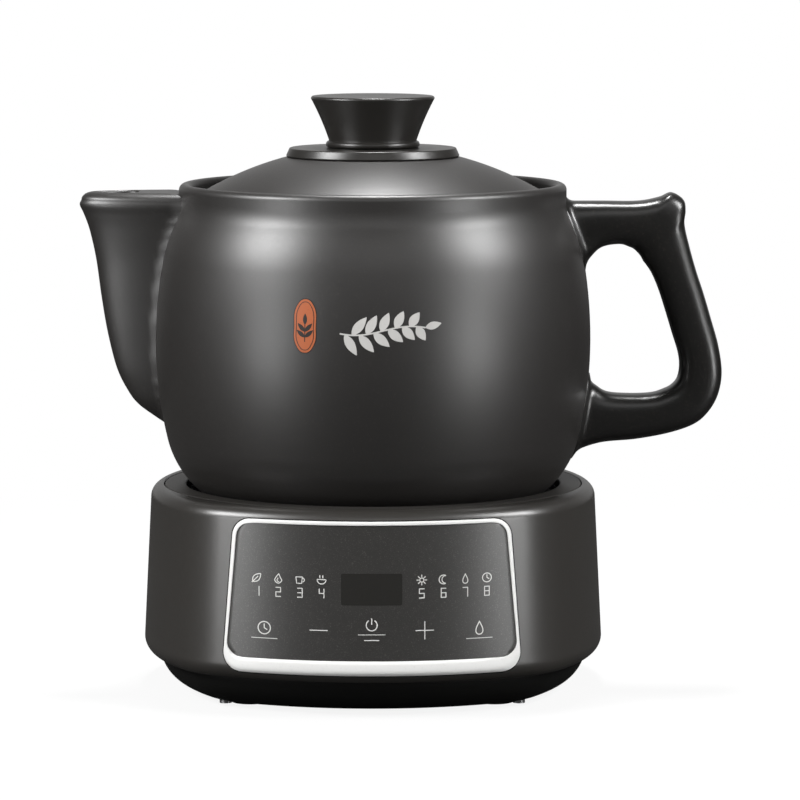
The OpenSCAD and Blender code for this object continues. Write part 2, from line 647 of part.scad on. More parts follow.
// The pot's outside as a solid, which the spout and the handle are fitted to
module pot_mass() {
    rotate_extrude() polygon(concat([[0, pot_z], [foot_edge, pot_z]], pot_outline, [[0, neck[1]]]));
}
strainer_rows = [0, 12, 24, 36, 48];
module pot_body() color([0.24, 0.23, 0.22]) difference() {
    rotate_extrude() polygon(concat(
        [[0, pot_z], [foot_edge, pot_z]], pot_outline,
        arc([neck[0] - neck_wall / 2, neck[1]], neck_wall / 2, 0, 180),
        [[neck_in, lid_z], [ledge_in, lid_z], [ledge_in, lid_z - 3]],
        reverse(inner_up), inner_down, [[0, pot_z + floor_t]]));
    // the strainer behind the spout
    for (h = strainer_rows, y = [-8, 0, 8]) if (h < 36 ? y == 0 || h > 12 : true)
        translate([-belly_r - cut, y, belly[1] - 14 + h]) rotate([0, 90, 0])
            cylinder(r = strainer_r, h = 25);
}

// Rows of the spout from its foot to the edge of its top: height above the
// pot's foot, share of the reach past the belly, and share of the half width
spout_root = 78;
spout_rows = [[43, -3.6, 0.16], [46, 0.8, 0.3], [51.5, 8.2, 0.42], [57.5, 13, 0.5], [69, 18.7, 0.58],
              [86.5, 23.1, 0.66], [104, 26, 0.73], [122, 28.4, 0.81], [136, 31.4, 0.9], [144, 34.2, 0.96],
              [148.5, 36.2, 1], [151, 35.4, 0.99]];
spout_sides = 20;
function spout_ring(z, reach, half) = [for (i = [0:spout_sides]) let (a = -90 + 180 * i / spout_sides)
    [-spout_root - (reach - spout_root) * cos(a), half * sign(a) * pow(abs(sin(a)), 0.86), z]];
function spout_body(t, crown) = concat(
    [for (s = spout_rows) spout_ring(pot_z + s[0], belly_r + s[1] * (spout_reach - belly_r) / 36.2 - t,
                                     max(0.8, spout_half * s[2] - t))],
    [for (a = [25, 50, 72]) let (s = spout_rows[len(spout_rows) - 1])
        spout_ring(pot_z + s[0] + crown * sin(a),
                   belly_r + s[1] * (spout_reach - belly_r) / 36.2 - t - 12 * (1 - cos(a)),
                   (spout_half * s[2] - t) * cos(a))]);
mouth_x = -spout_reach + spout_wall + 2.4;
slot_r = mouth_r * 0.6;     // half of the mouth's width at its inner end
module spout() color([0.24, 0.23, 0.22]) difference() {
    skin_rings(spout_body(0, spout_crown));
    pot_mass();
    difference() {
        skin_rings(spout_body(spout_wall, 0.4));
        // the closed top between the mouth and the pot
        translate([mouth_x + mouth_l, -40, neck[1] - 10]) cube([80, 80, 40]);
    }
    translate([mouth_x + mouth_r, 0, neck[1] - 12]) cylinder(r = mouth_r, h = 40);
    translate([mouth_x + mouth_l - slot_r, 0, neck[1] - 12]) cylinder(r = slot_r, h = 40);
    translate([mouth_x + mouth_r, -slot_r, neck[1] - 12]) cube([mouth_l - mouth_r - slot_r, 2 * slot_r, 40]);
}

// Stations round the handle: outer and inner edge, each as the distance past
// the pot's belly and the height above the pot's foot
handle_stations = [
    [[-16, 150.3], [-12, 114]], [[-9, 150.3], [-2.4, 121]], [[5.6, 150.3], [4.6, 127.8]],
    [[22.6, 150.3], [13.4, 129.6]], [[33, 152.2], [18.6, 128.2]], [[38.9, 154.4], [21, 126.9]],
    [[44.6, 151], [23.8, 124]], [[45.6, 145.8], [25.4, 121.2]], [[45.1, 139.3], [26.8, 119.4]],
    [[47.4, 129], [29.6, 115]], [[50.8, 117], [33, 107]], [[54.3, 106.5], [36.4, 96.5]],
    [[58.2, 93.5], [39.6, 86]], [[61.9, 80.2], [42.4, 77]], [[63.6, 67], [43.2, 70.4]],
    [[61.6, 56], [42.2, 64.6]], [[56.6, 47.6], [39.6, 61.2]], [[49.8, 42.1], [36, 59.2]],
    [[38, 38], [29.6, 57.2]], [[22, 35], [18.6, 56.8]],
    [[5.6, 33.4], [8, 57.8]], [[-6.5, 29.6], [1.5, 61.7]], [[-22, 23], [-12, 70]]];
handle_sides = 16;
handle_square = 0.62;     // 1 gives a round section, less a squarer one
function signed_pow(v, e) = sign(v) * pow(abs(v), e);
module handle() color([0.11, 0.1, 0.1]) difference() {
    skin_rings([for (s = handle_stations)
        let (shift = [belly_r + handle_out, pot_z], o = s[0] + shift, i = s[1] + shift,
             c = (o + i) / 2, u = (o - i) / 2)
            [for (k = [0:handle_sides - 1])
                let (a = -360 * k / handle_sides, p = c + u * signed_pow(cos(a), handle_square))
                    [p[0], handle_half * signed_pow(sin(a), handle_square), p[1]]]]);
    pot_mass();
}

// ---- lid --------------------------------------------------------------------

lid_r = neck_in - lid_gap;
lid_low = lid_z + seat_gap;
skirt_r = ledge_in - 2;
dome_c = lid_low + lid_edge - sqrt(pow(dome_arc, 2) - pow(lid_r - 1.6, 2));
function dome_at(r, inner = 0) = dome_c + sqrt(pow(dome_arc - inner, 2) - r * r);
seat_z = dome_at(seat_r);
boss_low = seat_z - 6.5;
dome_from = asin(seat_r / dome_arc);
dome_to = asin((lid_r - 1.6) / dome_arc);
inner_arc = dome_arc - lid_wall;
boss_edge = sqrt(pow(inner_arc, 2) - pow(boss_low + 1.5 - dome_c, 2));
module lid() color([0.24, 0.23, 0.22]) rotate_extrude() polygon(concat(
    [[lid_hole, seat_z]], arc([0, dome_c], dome_arc, 90 - dome_from, 90 - dome_to),
    [[lid_r, lid_low + lid_edge - 1.4], [lid_r, lid_low + 1], [lid_r - 1, lid_low], [skirt_r, lid_low],
     [skirt_r - 0.6, lid_low - skirt_h], [skirt_r - 3.6, lid_low - skirt_h]],
    [[skirt_r - 4.2, dome_at(skirt_r - 4.2, lid_wall)]],
    arc([0, dome_c], inner_arc, 90 - asin((skirt_r - 5) / inner_arc),
        90 - asin(max(16, boss_edge) / inner_arc)),
    [[14, boss_low], [lid_hole, boss_low]]));

gasket_t = 0.8;
gasket_r = seat_r - 8;
module lid_gasket() color([0.5, 0.15, 0.1]) translate([0, 0, seat_z]) ring(gasket_r, lid_hole, gasket_t);

collar_low = dome_at(collar_r + 1.4) + 0.3;
collar_top = collar_low + collar_t;
module knob_collar() color([0.2, 0.19, 0.19]) rotate_extrude() polygon(concat(
    [[lid_hole + 1, seat_z + gasket_t], [gasket_r + 0.2, seat_z + gasket_t], [gasket_r + 0.2, seat_z],
     [seat_r, seat_z]],
    [for (k = [1:6]) let (r = seat_r + (collar_r + 0.8 - seat_r) * k / 6) [r, dome_at(r) + 0.4]],
    [[collar_r + 1.4, collar_low + 0.6], [collar_r + 1, collar_low + 1.4],
     [collar_r + 0.1, collar_top - 0.6], [collar_r - 0.6, collar_top], [lid_hole + 1, collar_top]]));

// The knob's side is an arc that hollows it slightly
knob_top = collar_top + knob_h;
knob_hollow = 0.5;
knob_side = [for (k = [0:8]) let (t = k / 8)
    [knob_neck + (knob_r - knob_neck) * t - 4 * knob_hollow * t * (1 - t),
     collar_top + 3 + (knob_h - 4.2) * t]];
insert_r = 4;
insert_h = 14;
module lid_knob() color([0.18, 0.17, 0.17]) rotate_extrude() polygon(concat(
    [[insert_r, collar_top], [knob_neck + 1.2, collar_top], [knob_neck + 1.4, collar_top + 0.7],
     [knob_neck + 1.2, collar_top + 1.5], [knob_neck, collar_top + 2]],
    knob_side, arc([knob_r - 1.2, knob_top - 1.2], 1.2, 0, 90),
    [[0, knob_top], [0, collar_top + insert_h], [insert_r, collar_top + insert_h]]));

module knob_insert() color("gold") translate([0, 0, collar_top]) ring(insert_r, 2, insert_h);
module knob_washer() color("silver") translate([0, 0, boss_low - 1.2]) ring(10, 2.4, 1.2);
module knob_screw() color("silver") translate([0, 0, boss_low - 1.2 - 3])
    screw(2, 4.2, 3, 1.2 + collar_top - boss_low + insert_h - 2);

housing();
housing_frame();
bottom_shell();
inner_frame();
rubber_feet();
bottom_screws();
top_ring();
well_dish();
hot_plate();
heating_element();
plate_bracket();
bracket_screws();
sensor_sleeve();
sensor_spring();
sensor_cap();
thermal_fuse();
power_board();
relay();
transformer();
capacitor();
terminal_block();
power_board_screws();
power_inlet();
inlet_pins();
control_panel();
panel_trim();
display_window();
display_module();
control_board();
touch_springs();
program_lights();
buzzer();
control_board_screws();
pot_body();
spout();
handle();
lid();
lid_gasket();
knob_collar();
lid_knob();
knob_insert();
knob_washer();
knob_screw();
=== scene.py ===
# %% [markdown]
# # A heated pot for boiling herbs
# A stoneware pot with a spout, a loop handle and a loose lid stands in the well of a heated base.
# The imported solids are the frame: every piece here takes its place from them and rides on one of
# their bodies, so it moves with them. The shapes could be modelled by hand, but every one of them is
# turned, extruded or drawn along a path, so each is worked out with numpy from a few sizes. The
# finishes are node materials, because grain and speckle are too fine to be modelled.

# %% The frame
import math

import bpy
import numpy as np
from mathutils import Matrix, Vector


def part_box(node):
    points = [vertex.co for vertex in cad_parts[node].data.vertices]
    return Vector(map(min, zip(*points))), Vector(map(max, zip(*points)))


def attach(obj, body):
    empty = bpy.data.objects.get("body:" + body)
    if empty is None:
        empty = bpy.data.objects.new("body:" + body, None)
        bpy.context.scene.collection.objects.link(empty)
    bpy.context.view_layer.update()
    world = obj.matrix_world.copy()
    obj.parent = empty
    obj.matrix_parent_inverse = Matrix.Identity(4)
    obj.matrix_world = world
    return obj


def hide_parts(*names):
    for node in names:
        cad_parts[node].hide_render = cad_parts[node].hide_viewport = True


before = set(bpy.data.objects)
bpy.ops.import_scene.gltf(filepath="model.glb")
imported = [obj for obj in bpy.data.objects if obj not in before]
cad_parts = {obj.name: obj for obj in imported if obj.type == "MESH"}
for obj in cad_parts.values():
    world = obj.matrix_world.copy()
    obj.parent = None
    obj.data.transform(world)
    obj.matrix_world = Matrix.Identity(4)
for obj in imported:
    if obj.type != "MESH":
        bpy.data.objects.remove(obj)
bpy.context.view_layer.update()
MM = 0.001

# %% [markdown]
# ## Curves in a plane
# Turned and moulded pieces have outlines made of straight lines and arcs. They could be drawn as
# Bezier curves, but arcs of known radius are what a potter's rib and a toolmaker's cutter leave. An
# outline here is an array of points in millimetres. Arcs get enough points to look round, and
# straight stretches get none.


# %% Arcs and walks
def arc(centre, radius, start, end, count=24):
    """Centre plus radius times (cos a, sin a), with a running evenly from start to end in degrees."""
    a = np.radians(np.linspace(start, end, count))
    return np.column_stack([centre[0] + radius * np.cos(a), centre[1] + radius * np.sin(a)])


def walk(start, heading, moves, step=1.5):
    """Follows arcs of (radius, turn) and lines of (length, 0) from a point and a heading in degrees."""
    points = [np.array([start], float)]
    for size, turn in moves:
        here = points[-1][-1]
        if turn == 0:
            a = math.radians(heading)
            points.append(np.array([here + size * np.array([math.cos(a), math.sin(a)])]))
            continue
        side = math.copysign(1, turn)
        a = math.radians(heading + 90)
        centre = here + side * size * np.array([math.cos(a), math.sin(a)])
        first = heading - 90 * side
        points.append(arc(centre, size, first, first + turn, int(abs(turn) / step) + 2)[1:])
        heading += turn
    return np.vstack(points)


print("a walk of two arcs:", len(walk((0, 0), 90, [(20, 60), (5, -30)])), "points")


# %% Offsets and rounded loops
def offset(points, distance):
    """Moves each point along the normal of its outline: to the left of its direction if distance > 0."""
    along = np.gradient(points, axis=0)
    along /= np.linalg.norm(along, axis=1)[:, None]
    return points + distance * np.column_stack([-along[:, 1], along[:, 0]])


def rounded_loop(corners, radii, count=9):
    """A closed outline whose corners are replaced by arcs that touch both of their sides."""
    corners = np.array(corners, float)
    out = []
    for p, before, after, r in zip(corners, np.roll(corners, 1, 0), np.roll(corners, -1, 0), radii):
        u = (before - p) / np.linalg.norm(before - p)
        v = (after - p) / np.linalg.norm(after - p)
        half = math.acos(float(np.clip(u @ v, -1, 1))) / 2
        centre = p + (u + v) / np.linalg.norm(u + v) * r / math.sin(half)
        first = p + u * r / math.tan(half) - centre
        last = p + v * r / math.tan(half) - centre
        a = math.atan2(first[1], first[0])
        turn = (math.atan2(last[1], last[0]) - a + math.pi) % (2 * math.pi) - math.pi
        t = a + turn * np.linspace(0, 1, count)
        out.append(centre + r * np.column_stack([np.cos(t), np.sin(t)]))
    return np.vstack(out)


print("a rounded square:", len(rounded_loop([(0, 0), (9, 0), (9, 9), (0, 9)], [2] * 4)), "points")


# %% Smooth curves
def through(points, count):
    """A smooth curve through every point: Catmull-Rom pieces, evenly many samples per stretch."""
    p = np.vstack([2 * points[0] - points[1], points, 2 * points[-1] - points[-2]])
    t = np.linspace(0, len(points) - 1 - 1e-9, count)
    k = t.astype(int)
    t = (t - k)[:, None]
    a, b, c, d = p[k], p[k + 1], p[k + 2], p[k + 3]
    return 0.5 * (2 * b + (c - a) * t + (2 * a - 5 * b + 4 * c - d) * t**2
                  + (3 * b - a - 3 * c + d) * t**3)


bend = through(np.array([[0.0, 0.0], [1.0, 1.0], [2.0, 0.0]]), 5)
print("a bend through three points:", bend.round(2).tolist())

# %% [markdown]
# ## Surfaces
# A surface is a grid of points, one row per point of an outline and one column per angle or step.
# Modifiers such as Screw could turn an outline, but a grid also gives lofts whose rings change shape.
# The helpers turn grids into closed meshes that face outwards. The signed volume tells the side.


# %% Grid faces and their side
def grid_faces(rows, columns, close_rows=False):
    """Quads between neighbouring rows of a grid whose columns run all the way round."""
    i = np.arange(rows if close_rows else rows - 1)[:, None]
    j = np.arange(columns)[None, :]
    k, n = (i + 1) % rows, (j + 1) % columns
    i, j, k, n = np.broadcast_arrays(i, j, k, n)
    return np.stack([i * columns + j, i * columns + n, k * columns + n, k * columns + j], -1).reshape(-1, 4)


def outward(points, faces):
    """Turns the faces round if the volume that they enclose is negative."""
    volume = 0.0
    for f in faces:
        a, b = points[f[:, 0]], points[f[:, 1]]
        for k in range(2, f.shape[1]):
            c = points[f[:, k]]
            volume += np.einsum("ij,ij->i", a, np.cross(b, c)).sum()
            b = c
    return faces if volume > 0 else [f[:, ::-1] for f in faces]


print("a grid of 4 by 6 points:", len(grid_faces(4, 6)), "faces")


# %% A mesh that rides on a body
def make_piece(name, points, faces, body, material, replaces=(), slot=None, sharp=35):
    """Puts points in millimetres and face arrays into a mesh that rides on a body of the frame."""
    mesh = bpy.data.meshes.new(name)
    mesh.from_pydata((np.asarray(points, float) * MM).tolist(), [], [q for f in faces for q in f.tolist()])
    mesh.validate()
    mesh.polygons.foreach_set("use_smooth", np.ones(len(mesh.polygons), bool))
    mesh.set_sharp_from_angle(angle=math.radians(sharp))
    piece = bpy.data.objects.new(name, mesh)
    bpy.context.scene.collection.objects.link(piece)
    mesh.materials.append(material)
    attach(piece, body)
    if replaces:
        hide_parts(*replaces)
    print(name, len(mesh.polygons), "faces")
    return piece


# %% Lofts
def loft(rings, close=False):
    """Joins closed rings, an array of rows by columns by 3. Open ends get a flat face each."""
    rows, columns = rings.shape[:2]
    points = rings.reshape(-1, 3)
    faces = [grid_faces(rows, columns, close)]
    if not close:
        faces.append(np.arange(columns)[None, ::-1])
        faces.append((rows - 1) * columns + np.arange(columns)[None, :])
    return points, outward(points, faces)


print("a loft of two squares:", len(loft(np.zeros((2, 4, 3)))[1][0]), "sides")


# %% Turned surfaces
def revolve(profile, segments=192):
    """x = r cos a, y = r sin a for each (r, z). On the axis the surface closes in a fan of triangles."""
    profile = np.asarray(profile, float)
    a = np.radians(np.arange(segments) * 360 / segments)
    poles = [k for k in (0, len(profile) - 1) if profile[k, 0] < 1e-6]
    body = np.delete(profile, poles, 0)
    r, z = body[:, :1], body[:, 1:]
    rings = np.stack(np.broadcast_arrays(r * np.cos(a), r * np.sin(a), z), -1)
    points = rings.reshape(-1, 3)
    faces = [grid_faces(len(body), segments, close_rows=not poles)]
    column = np.arange(segments)
    for k in poles:
        row = 0 if k == 0 else len(body) - 1
        tip = np.full(segments, len(points))
        points = np.vstack([points, [0, 0, profile[k, 1]]])
        ring = row * segments + column
        after = row * segments + (column + 1) % segments
        faces.append(np.column_stack([tip, after, ring] if k == 0 else [tip, ring, after]))
    return points, outward(points, faces)


print("a turned cylinder:", len(revolve([(5, 0), (5, 9), (0, 9)])[0]), "points")


# %% Carving
def carve(piece, cutters):
    """Takes the cutters' solids out of a closed piece with a boolean, and removes the cutters."""
    for solid in cutters:
        cut = piece.modifiers.new("cut", "BOOLEAN")
        cut.operation, cut.solver, cut.object = "DIFFERENCE", "MANIFOLD", solid
        shown = piece.evaluated_get(bpy.context.evaluated_depsgraph_get())
        mesh = bpy.data.meshes.new_from_object(shown)
        piece.modifiers.clear()
        piece.data = mesh
        bpy.data.objects.remove(solid)
    print(piece.name, "after carving:", len(piece.data.polygons), "faces")


def cutter(points, faces):
    """A solid that is only used for carving."""
    mesh = bpy.data.meshes.new("cutter")
    mesh.from_pydata((np.asarray(points, float) * MM).tolist(), [], [q for f in faces for q in f.tolist()])
    solid = bpy.data.objects.new("cutter", mesh)
    bpy.context.scene.collection.objects.link(solid)
    return solid


# %% [markdown]
# ## Finishes
# The pot is matt stoneware, the base textured plastic. Both are dark surfaces whose look comes from a
# fine grain and a slow drift of tone. Photographs of such surfaces could be wrapped round the pieces,
# but noise works at any size and has no seams. One node group makes the grain, the drift and small
# specks, and each material places it with its own colours and scales.


# %% Nodes with their inputs
def add_node(tree, kind, **values):
    """Adds a node to a tree and sets its inputs. An underscore in a name stands for a space."""
    node = tree.nodes.new(kind)
    for name, value in values.items():
        node.inputs[name.replace("_", " ")].default_value = value
    return node


def linear(red, green, blue):
    """A colour of 0 to 255 as the shader wants it: each share s becomes ((s + 0.055) / 1.055) ** 2.4."""
    return tuple(((c / 255 + 0.055) / 1.055) ** 2.4 for c in (red, green, blue)) + (1,)


print("grey 128 for the shader: %.3f" % linear(128, 128, 128)[0])

# %% Sockets of the grain group
COLOR, FLOAT = "NodeSocketColor", "NodeSocketFloat"
GRAIN_INPUTS = (
    ("Tone", COLOR, (0.05, 0.05, 0.05, 1)), ("Second Tone", COLOR, (0.06, 0.06, 0.06, 1)),
    ("Speck Tone", COLOR, (0.1, 0.1, 0.1, 1)), ("Grain Scale", FLOAT, 1800.0),
    ("Drift Scale", FLOAT, 18.0), ("Speck Scale", FLOAT, 900.0), ("Speck Amount", FLOAT, 0.2),
    ("Low Roughness", FLOAT, 0.4), ("High Roughness", FLOAT, 0.5),
)
GRAIN_OUTPUTS = (("Color", COLOR), ("Roughness", FLOAT), ("Height", FLOAT))
SPECKS_FROM, SPECKS_FULL = 0.58, 0.72  # the part of the noise's peaks that becomes specks
print("grain group:", len(GRAIN_INPUTS), "inputs and", len(GRAIN_OUTPUTS), "outputs")


# %% The grain group
def build_grain():
    """Mixes two tones by a slow noise, adds specks, and gives a fine noise for roughness and height."""
    group = bpy.data.node_groups.new("fine_grain", "ShaderNodeTree")
    for name, kind, value in GRAIN_INPUTS:
        group.interface.new_socket(name, in_out="INPUT", socket_type=kind).default_value = value
    for name, kind in GRAIN_OUTPUTS:
        group.interface.new_socket(name, in_out="OUTPUT", socket_type=kind)
    link = group.links.new
    start, end = add_node(group, "NodeGroupInput"), add_node(group, "NodeGroupOutput")
    place = add_node(group, "ShaderNodeTexCoord").outputs["Object"]

    def noise(scale, detail):
        """The noise of one size at the object's own coordinates."""
        node = add_node(group, "ShaderNodeTexNoise", Detail=detail)
        link(place, node.inputs["Vector"])
        link(start.outputs[scale], node.inputs["Scale"])
        return node.outputs["Fac"]

    def mix(factor, a, b):
        """A colour between two: (1 - factor) times the first plus factor times the second."""
        node = add_node(group, "ShaderNodeMix")
        node.data_type = "RGBA"
        link(factor, node.inputs["Factor"])
        link(a, node.inputs["A"])
        link(b, node.inputs["B"])
        return node.outputs["Result"]

    grain = noise("Grain Scale", 3)
    specks = add_node(group, "ShaderNodeMapRange", From_Min=SPECKS_FROM, From_Max=SPECKS_FULL)
    link(noise("Speck Scale", 2), specks.inputs["Value"])
    share = add_node(group, "ShaderNodeMath")
    share.operation = "MULTIPLY"
    link(specks.outputs["Result"], share.inputs[0])
    link(start.outputs["Speck Amount"], share.inputs[1])
    drift = mix(noise("Drift Scale", 2), start.outputs["Tone"], start.outputs["Second Tone"])
    link(mix(share.outputs[0], drift, start.outputs["Speck Tone"]), end.inputs["Color"])
    rough = add_node(group, "ShaderNodeMapRange", From_Min=0.3, From_Max=0.7)
    link(grain, rough.inputs["Value"])
    link(start.outputs["Low Roughness"], rough.inputs["To Min"])
    link(start.outputs["High Roughness"], rough.inputs["To Max"])
    link(rough.outputs["Result"], end.inputs["Roughness"])
    link(grain, end.inputs["Height"])
    return group


grain_group = build_grain()
print("grain group:", len(grain_group.nodes), "nodes")


# %% A material from the group
def finish_of(name, tone, second=None, specks=None, speck=0.0, rough=(0.4, 0.5), grain=1800.0, drift=18.0,
              speck_scale=900.0, bump=0.1, depth=0.05, metallic=0.0, specular=0.5):
    """A Principled material with the grain group. Tones are 0 to 255, depth is in millimetres."""
    material = bpy.data.materials.new(name)
    material.use_nodes = True
    tree = material.node_tree
    link = tree.links.new
    shader = tree.nodes["Principled BSDF"]
    shader.inputs["Metallic"].default_value = metallic
    shader.inputs["Specular IOR Level"].default_value = specular
    group = tree.nodes.new("ShaderNodeGroup")
    group.node_tree = grain_group
    for socket, value in (
        ("Tone", linear(*tone)), ("Second Tone", linear(*(second or tone))),
        ("Speck Tone", linear(*(specks or tone))), ("Speck Amount", speck), ("Grain Scale", grain),
        ("Drift Scale", drift), ("Speck Scale", speck_scale),
        ("Low Roughness", rough[0]), ("High Roughness", rough[1]),
    ):
        group.inputs[socket].default_value = value
    height = add_node(tree, "ShaderNodeBump", Strength=bump, Distance=depth * MM)
    link(group.outputs["Color"], shader.inputs["Base Color"])
    link(group.outputs["Roughness"], shader.inputs["Roughness"])
    link(group.outputs["Height"], height.inputs["Height"])
    link(height.outputs["Normal"], shader.inputs["Normal"])
    print(material.name, end="; ")
    return material


# %% [markdown]
# The photograph's tones set the colours: charcoal stoneware, a handle glazed almost black, grey
# plastic with a slight sheen, a silver trim and screen inks. Colours are written as 0 to 255. They are
# darker than they look in the photograph, because the lamps' gloss adds to them.

# %% Pot and lid
stoneware = finish_of("stoneware", (27, 25, 24), (31, 29, 27), (56, 53, 50), 0.25, (0.38, 0.46),
                      bump=0.25, specular=0.9)
handle_glaze = finish_of("handle_glaze", (12, 11, 10), (15, 14, 12), (52, 47, 42), 0.4, (0.28, 0.38),
                         bump=0.2, specular=0.8)
knob_plastic = finish_of("knob_plastic", (32, 31, 29), (35, 33, 31), rough=(0.3, 0.38), bump=0.08,
                         specular=0.6)
collar_plastic = finish_of("collar_plastic", (34, 33, 31), (37, 35, 33), rough=(0.3, 0.38), bump=0.08,
                           specular=0.6)
print_grey = finish_of("print_grey", (188, 187, 184), (196, 195, 192), rough=(0.4, 0.5), bump=0.05)
print_orange = finish_of("print_orange", (170, 88, 46), (180, 96, 54), (150, 74, 40), 0.4, (0.4, 0.5),
                         bump=0.1)
print_dark = finish_of("print_dark", (30, 22, 18), (34, 24, 20), rough=(0.4, 0.5), bump=0.05)
print("pot and lid:", len(bpy.data.materials), "materials so far")

# %% Base and panel
housing_plastic = finish_of("base_housing", (42, 40, 38), (45, 43, 40), (60, 58, 55), 0.3, (0.31, 0.39),
                            bump=0.3, specular=0.9)
ring_plastic = finish_of("top_ring", (40, 38, 36), (43, 41, 38), (56, 54, 51), 0.3, (0.44, 0.52), bump=0.3)
shell_plastic = finish_of("bottom_shell", (10, 10, 9), (12, 12, 11), rough=(0.5, 0.6), bump=0.3,
                          specular=0.25)
panel_film = finish_of("control_panel", (42, 41, 40), (46, 45, 43), (110, 108, 104), 0.5, (0.33, 0.41),
                       grain=2600.0, speck_scale=2200.0, bump=0.2, specular=0.9)
window_film = finish_of("display_window", (34, 33, 31), (37, 36, 34), (56, 55, 53), 0.35, (0.3, 0.38),
                        speck_scale=2600.0, bump=0.1)
trim_silver = finish_of("panel_trim", (232, 232, 230), (236, 236, 234), (215, 215, 213), 0.25, (0.3, 0.4),
                        grain=2600.0, bump=0.06)
# A near-black finish that paints shade: the dark line of the gap round the panel's trim.
seam_shade_finish = finish_of("seam_shadow", (10, 10, 9), rough=(0.7, 0.8), specular=0.1)
mark_ink = finish_of("mark_ink", (214, 214, 211), (220, 220, 217), rough=(0.4, 0.5), bump=0.02)
foot_rubber = finish_of("rubber", (16, 16, 16), (20, 20, 19), rough=(0.7, 0.85), bump=0.3, specular=0.3)
dish_steel = finish_of("steel_dish", (196, 196, 198), (186, 186, 189), rough=(0.22, 0.34), bump=0.1,
                       metallic=1.0)
print("with the base:", len(bpy.data.materials), "materials")

# %% [markdown]
# ## Inner pieces
# What the shells hide is seen only when the part is taken apart. The solids themselves have the right
# shapes there, so nothing is modelled twice: each gets a finish of its own, such as zinc-plated screws,
# a dull heating tube, green boards with solder points, brass pins and a red silicone gasket.

# %% Frames and metal inside
def dress(rows):
    """Gives the nodes of each row one finish, in the place of the solid's own material."""
    for names, finish, tone, second, options in rows:
        look = finish_of(finish, tone, second, **options)
        for name in names:
            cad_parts[name].material_slots[0].material = look
    print("dressed:", sum(len(row[0]) for row in rows), "nodes")


dress([
    (("housing_frame",), "inner_plastic", (46, 45, 44), (50, 49, 48), dict(rough=(0.5, 0.62), bump=0.3)),
    (("inner_frame", "sensor_sleeve"), "frame_plastic", (206, 204, 194), (212, 210, 201),
     dict(rough=(0.45, 0.58), bump=0.2)),
    (("bottom_screws", "bracket_screws", "power_board_screws", "control_board_screws", "knob_washer",
      "knob_screw"), "screws", (186, 186, 186), (170, 170, 172), dict(rough=(0.25, 0.4), metallic=1.0)),
    (("hot_plate",), "cast_aluminium", (168, 168, 166), (150, 150, 148),
     dict(rough=(0.45, 0.6), grain=900.0, bump=0.4, metallic=0.9)),
    (("heating_element",), "heating_tube", (92, 86, 80), (70, 64, 62),
     dict(rough=(0.4, 0.55), metallic=0.9, drift=60.0)),
    (("plate_bracket",), "bracket_steel", (184, 184, 184), (170, 170, 172),
     dict(rough=(0.3, 0.42), metallic=1.0)),
    (("sensor_spring", "touch_springs"), "spring_steel", (198, 198, 198), (188, 188, 190),
     dict(rough=(0.16, 0.26), metallic=1.0)),
    (("sensor_cap",), "sensor_cap", (206, 206, 208), (196, 196, 199),
     dict(rough=(0.28, 0.4), metallic=1.0)),
])

# %% Boards and small parts
dress([
    (("thermal_fuse",), "fuse_ceramic", (230, 228, 220), (222, 219, 210), dict(rough=(0.5, 0.6))),
    (("power_board", "control_board"), "circuit_board", (30, 92, 56), (26, 84, 50),
     dict(specks=(196, 170, 96), speck=0.35, speck_scale=300.0, rough=(0.3, 0.4))),
    (("relay",), "relay_case", (40, 52, 128), (36, 47, 120), dict(rough=(0.2, 0.3))),
    (("transformer",), "transformer", (190, 168, 58), (176, 152, 48), dict(rough=(0.4, 0.5), drift=90.0)),
    (("capacitor",), "capacitor", (28, 28, 78), (24, 24, 70), dict(rough=(0.15, 0.25))),
    (("terminal_block",), "terminal_block", (52, 128, 78), (48, 120, 72), dict(rough=(0.5, 0.6))),
    (("power_inlet",), "inlet_plastic", (16, 16, 16), (19, 19, 19), dict(rough=(0.35, 0.45), bump=0.2)),
    (("inlet_pins",), "inlet_pins", (206, 192, 130), (198, 182, 120),
     dict(rough=(0.18, 0.28), metallic=1.0)),
    (("display_module",), "display_module", (30, 30, 30), (34, 34, 34), dict(rough=(0.5, 0.6))),
    (("program_lights",), "light_plastic", (230, 230, 224), (224, 224, 216), dict(rough=(0.15, 0.25))),
    (("buzzer",), "buzzer", (20, 20, 20), (24, 24, 24), dict(rough=(0.4, 0.5))),
    (("lid_gasket",), "gasket", (118, 40, 30), (112, 36, 27), dict(rough=(0.6, 0.7))),
    (("knob_insert",), "brass", (206, 168, 92), (198, 158, 84), dict(rough=(0.22, 0.32), metallic=1.0)),
])

# %% [markdown]
# ## Lights, floor and camera
# The photograph is a studio shot: white all round, two tall softboxes in front and a light from
# above. The camera stands about two metres away with a long lens and looks slightly down. Its numbers
# were found by laying the solids' outline over the photograph's, which is surer than turning it by eye.

# %% Camera
VIEW_PITCH = 6.4  # degrees below the horizon
VIEW_DISTANCE = 2.182
VIEW_TARGET = (0.0131, 0.0, 0.1376)
pitch = math.radians(VIEW_PITCH)
lens = bpy.data.cameras.new("camera")
lens.sensor_width, lens.lens = 36.0, 202.5
lens.clip_start, lens.clip_end = 0.1, 20.0
camera = bpy.data.objects.new("camera", lens)
camera.location = (
    VIEW_TARGET[0], -VIEW_DISTANCE * math.cos(pitch), VIEW_TARGET[2] + VIEW_DISTANCE * math.sin(pitch))
camera.rotation_euler = (math.pi / 2 - pitch, 0, 0)
bpy.context.scene.collection.objects.link(camera)
bpy.context.scene.camera = camera
bpy.context.scene.view_settings.view_transform = "Standard"
print("camera at", [round(c, 3) for c in camera.location])


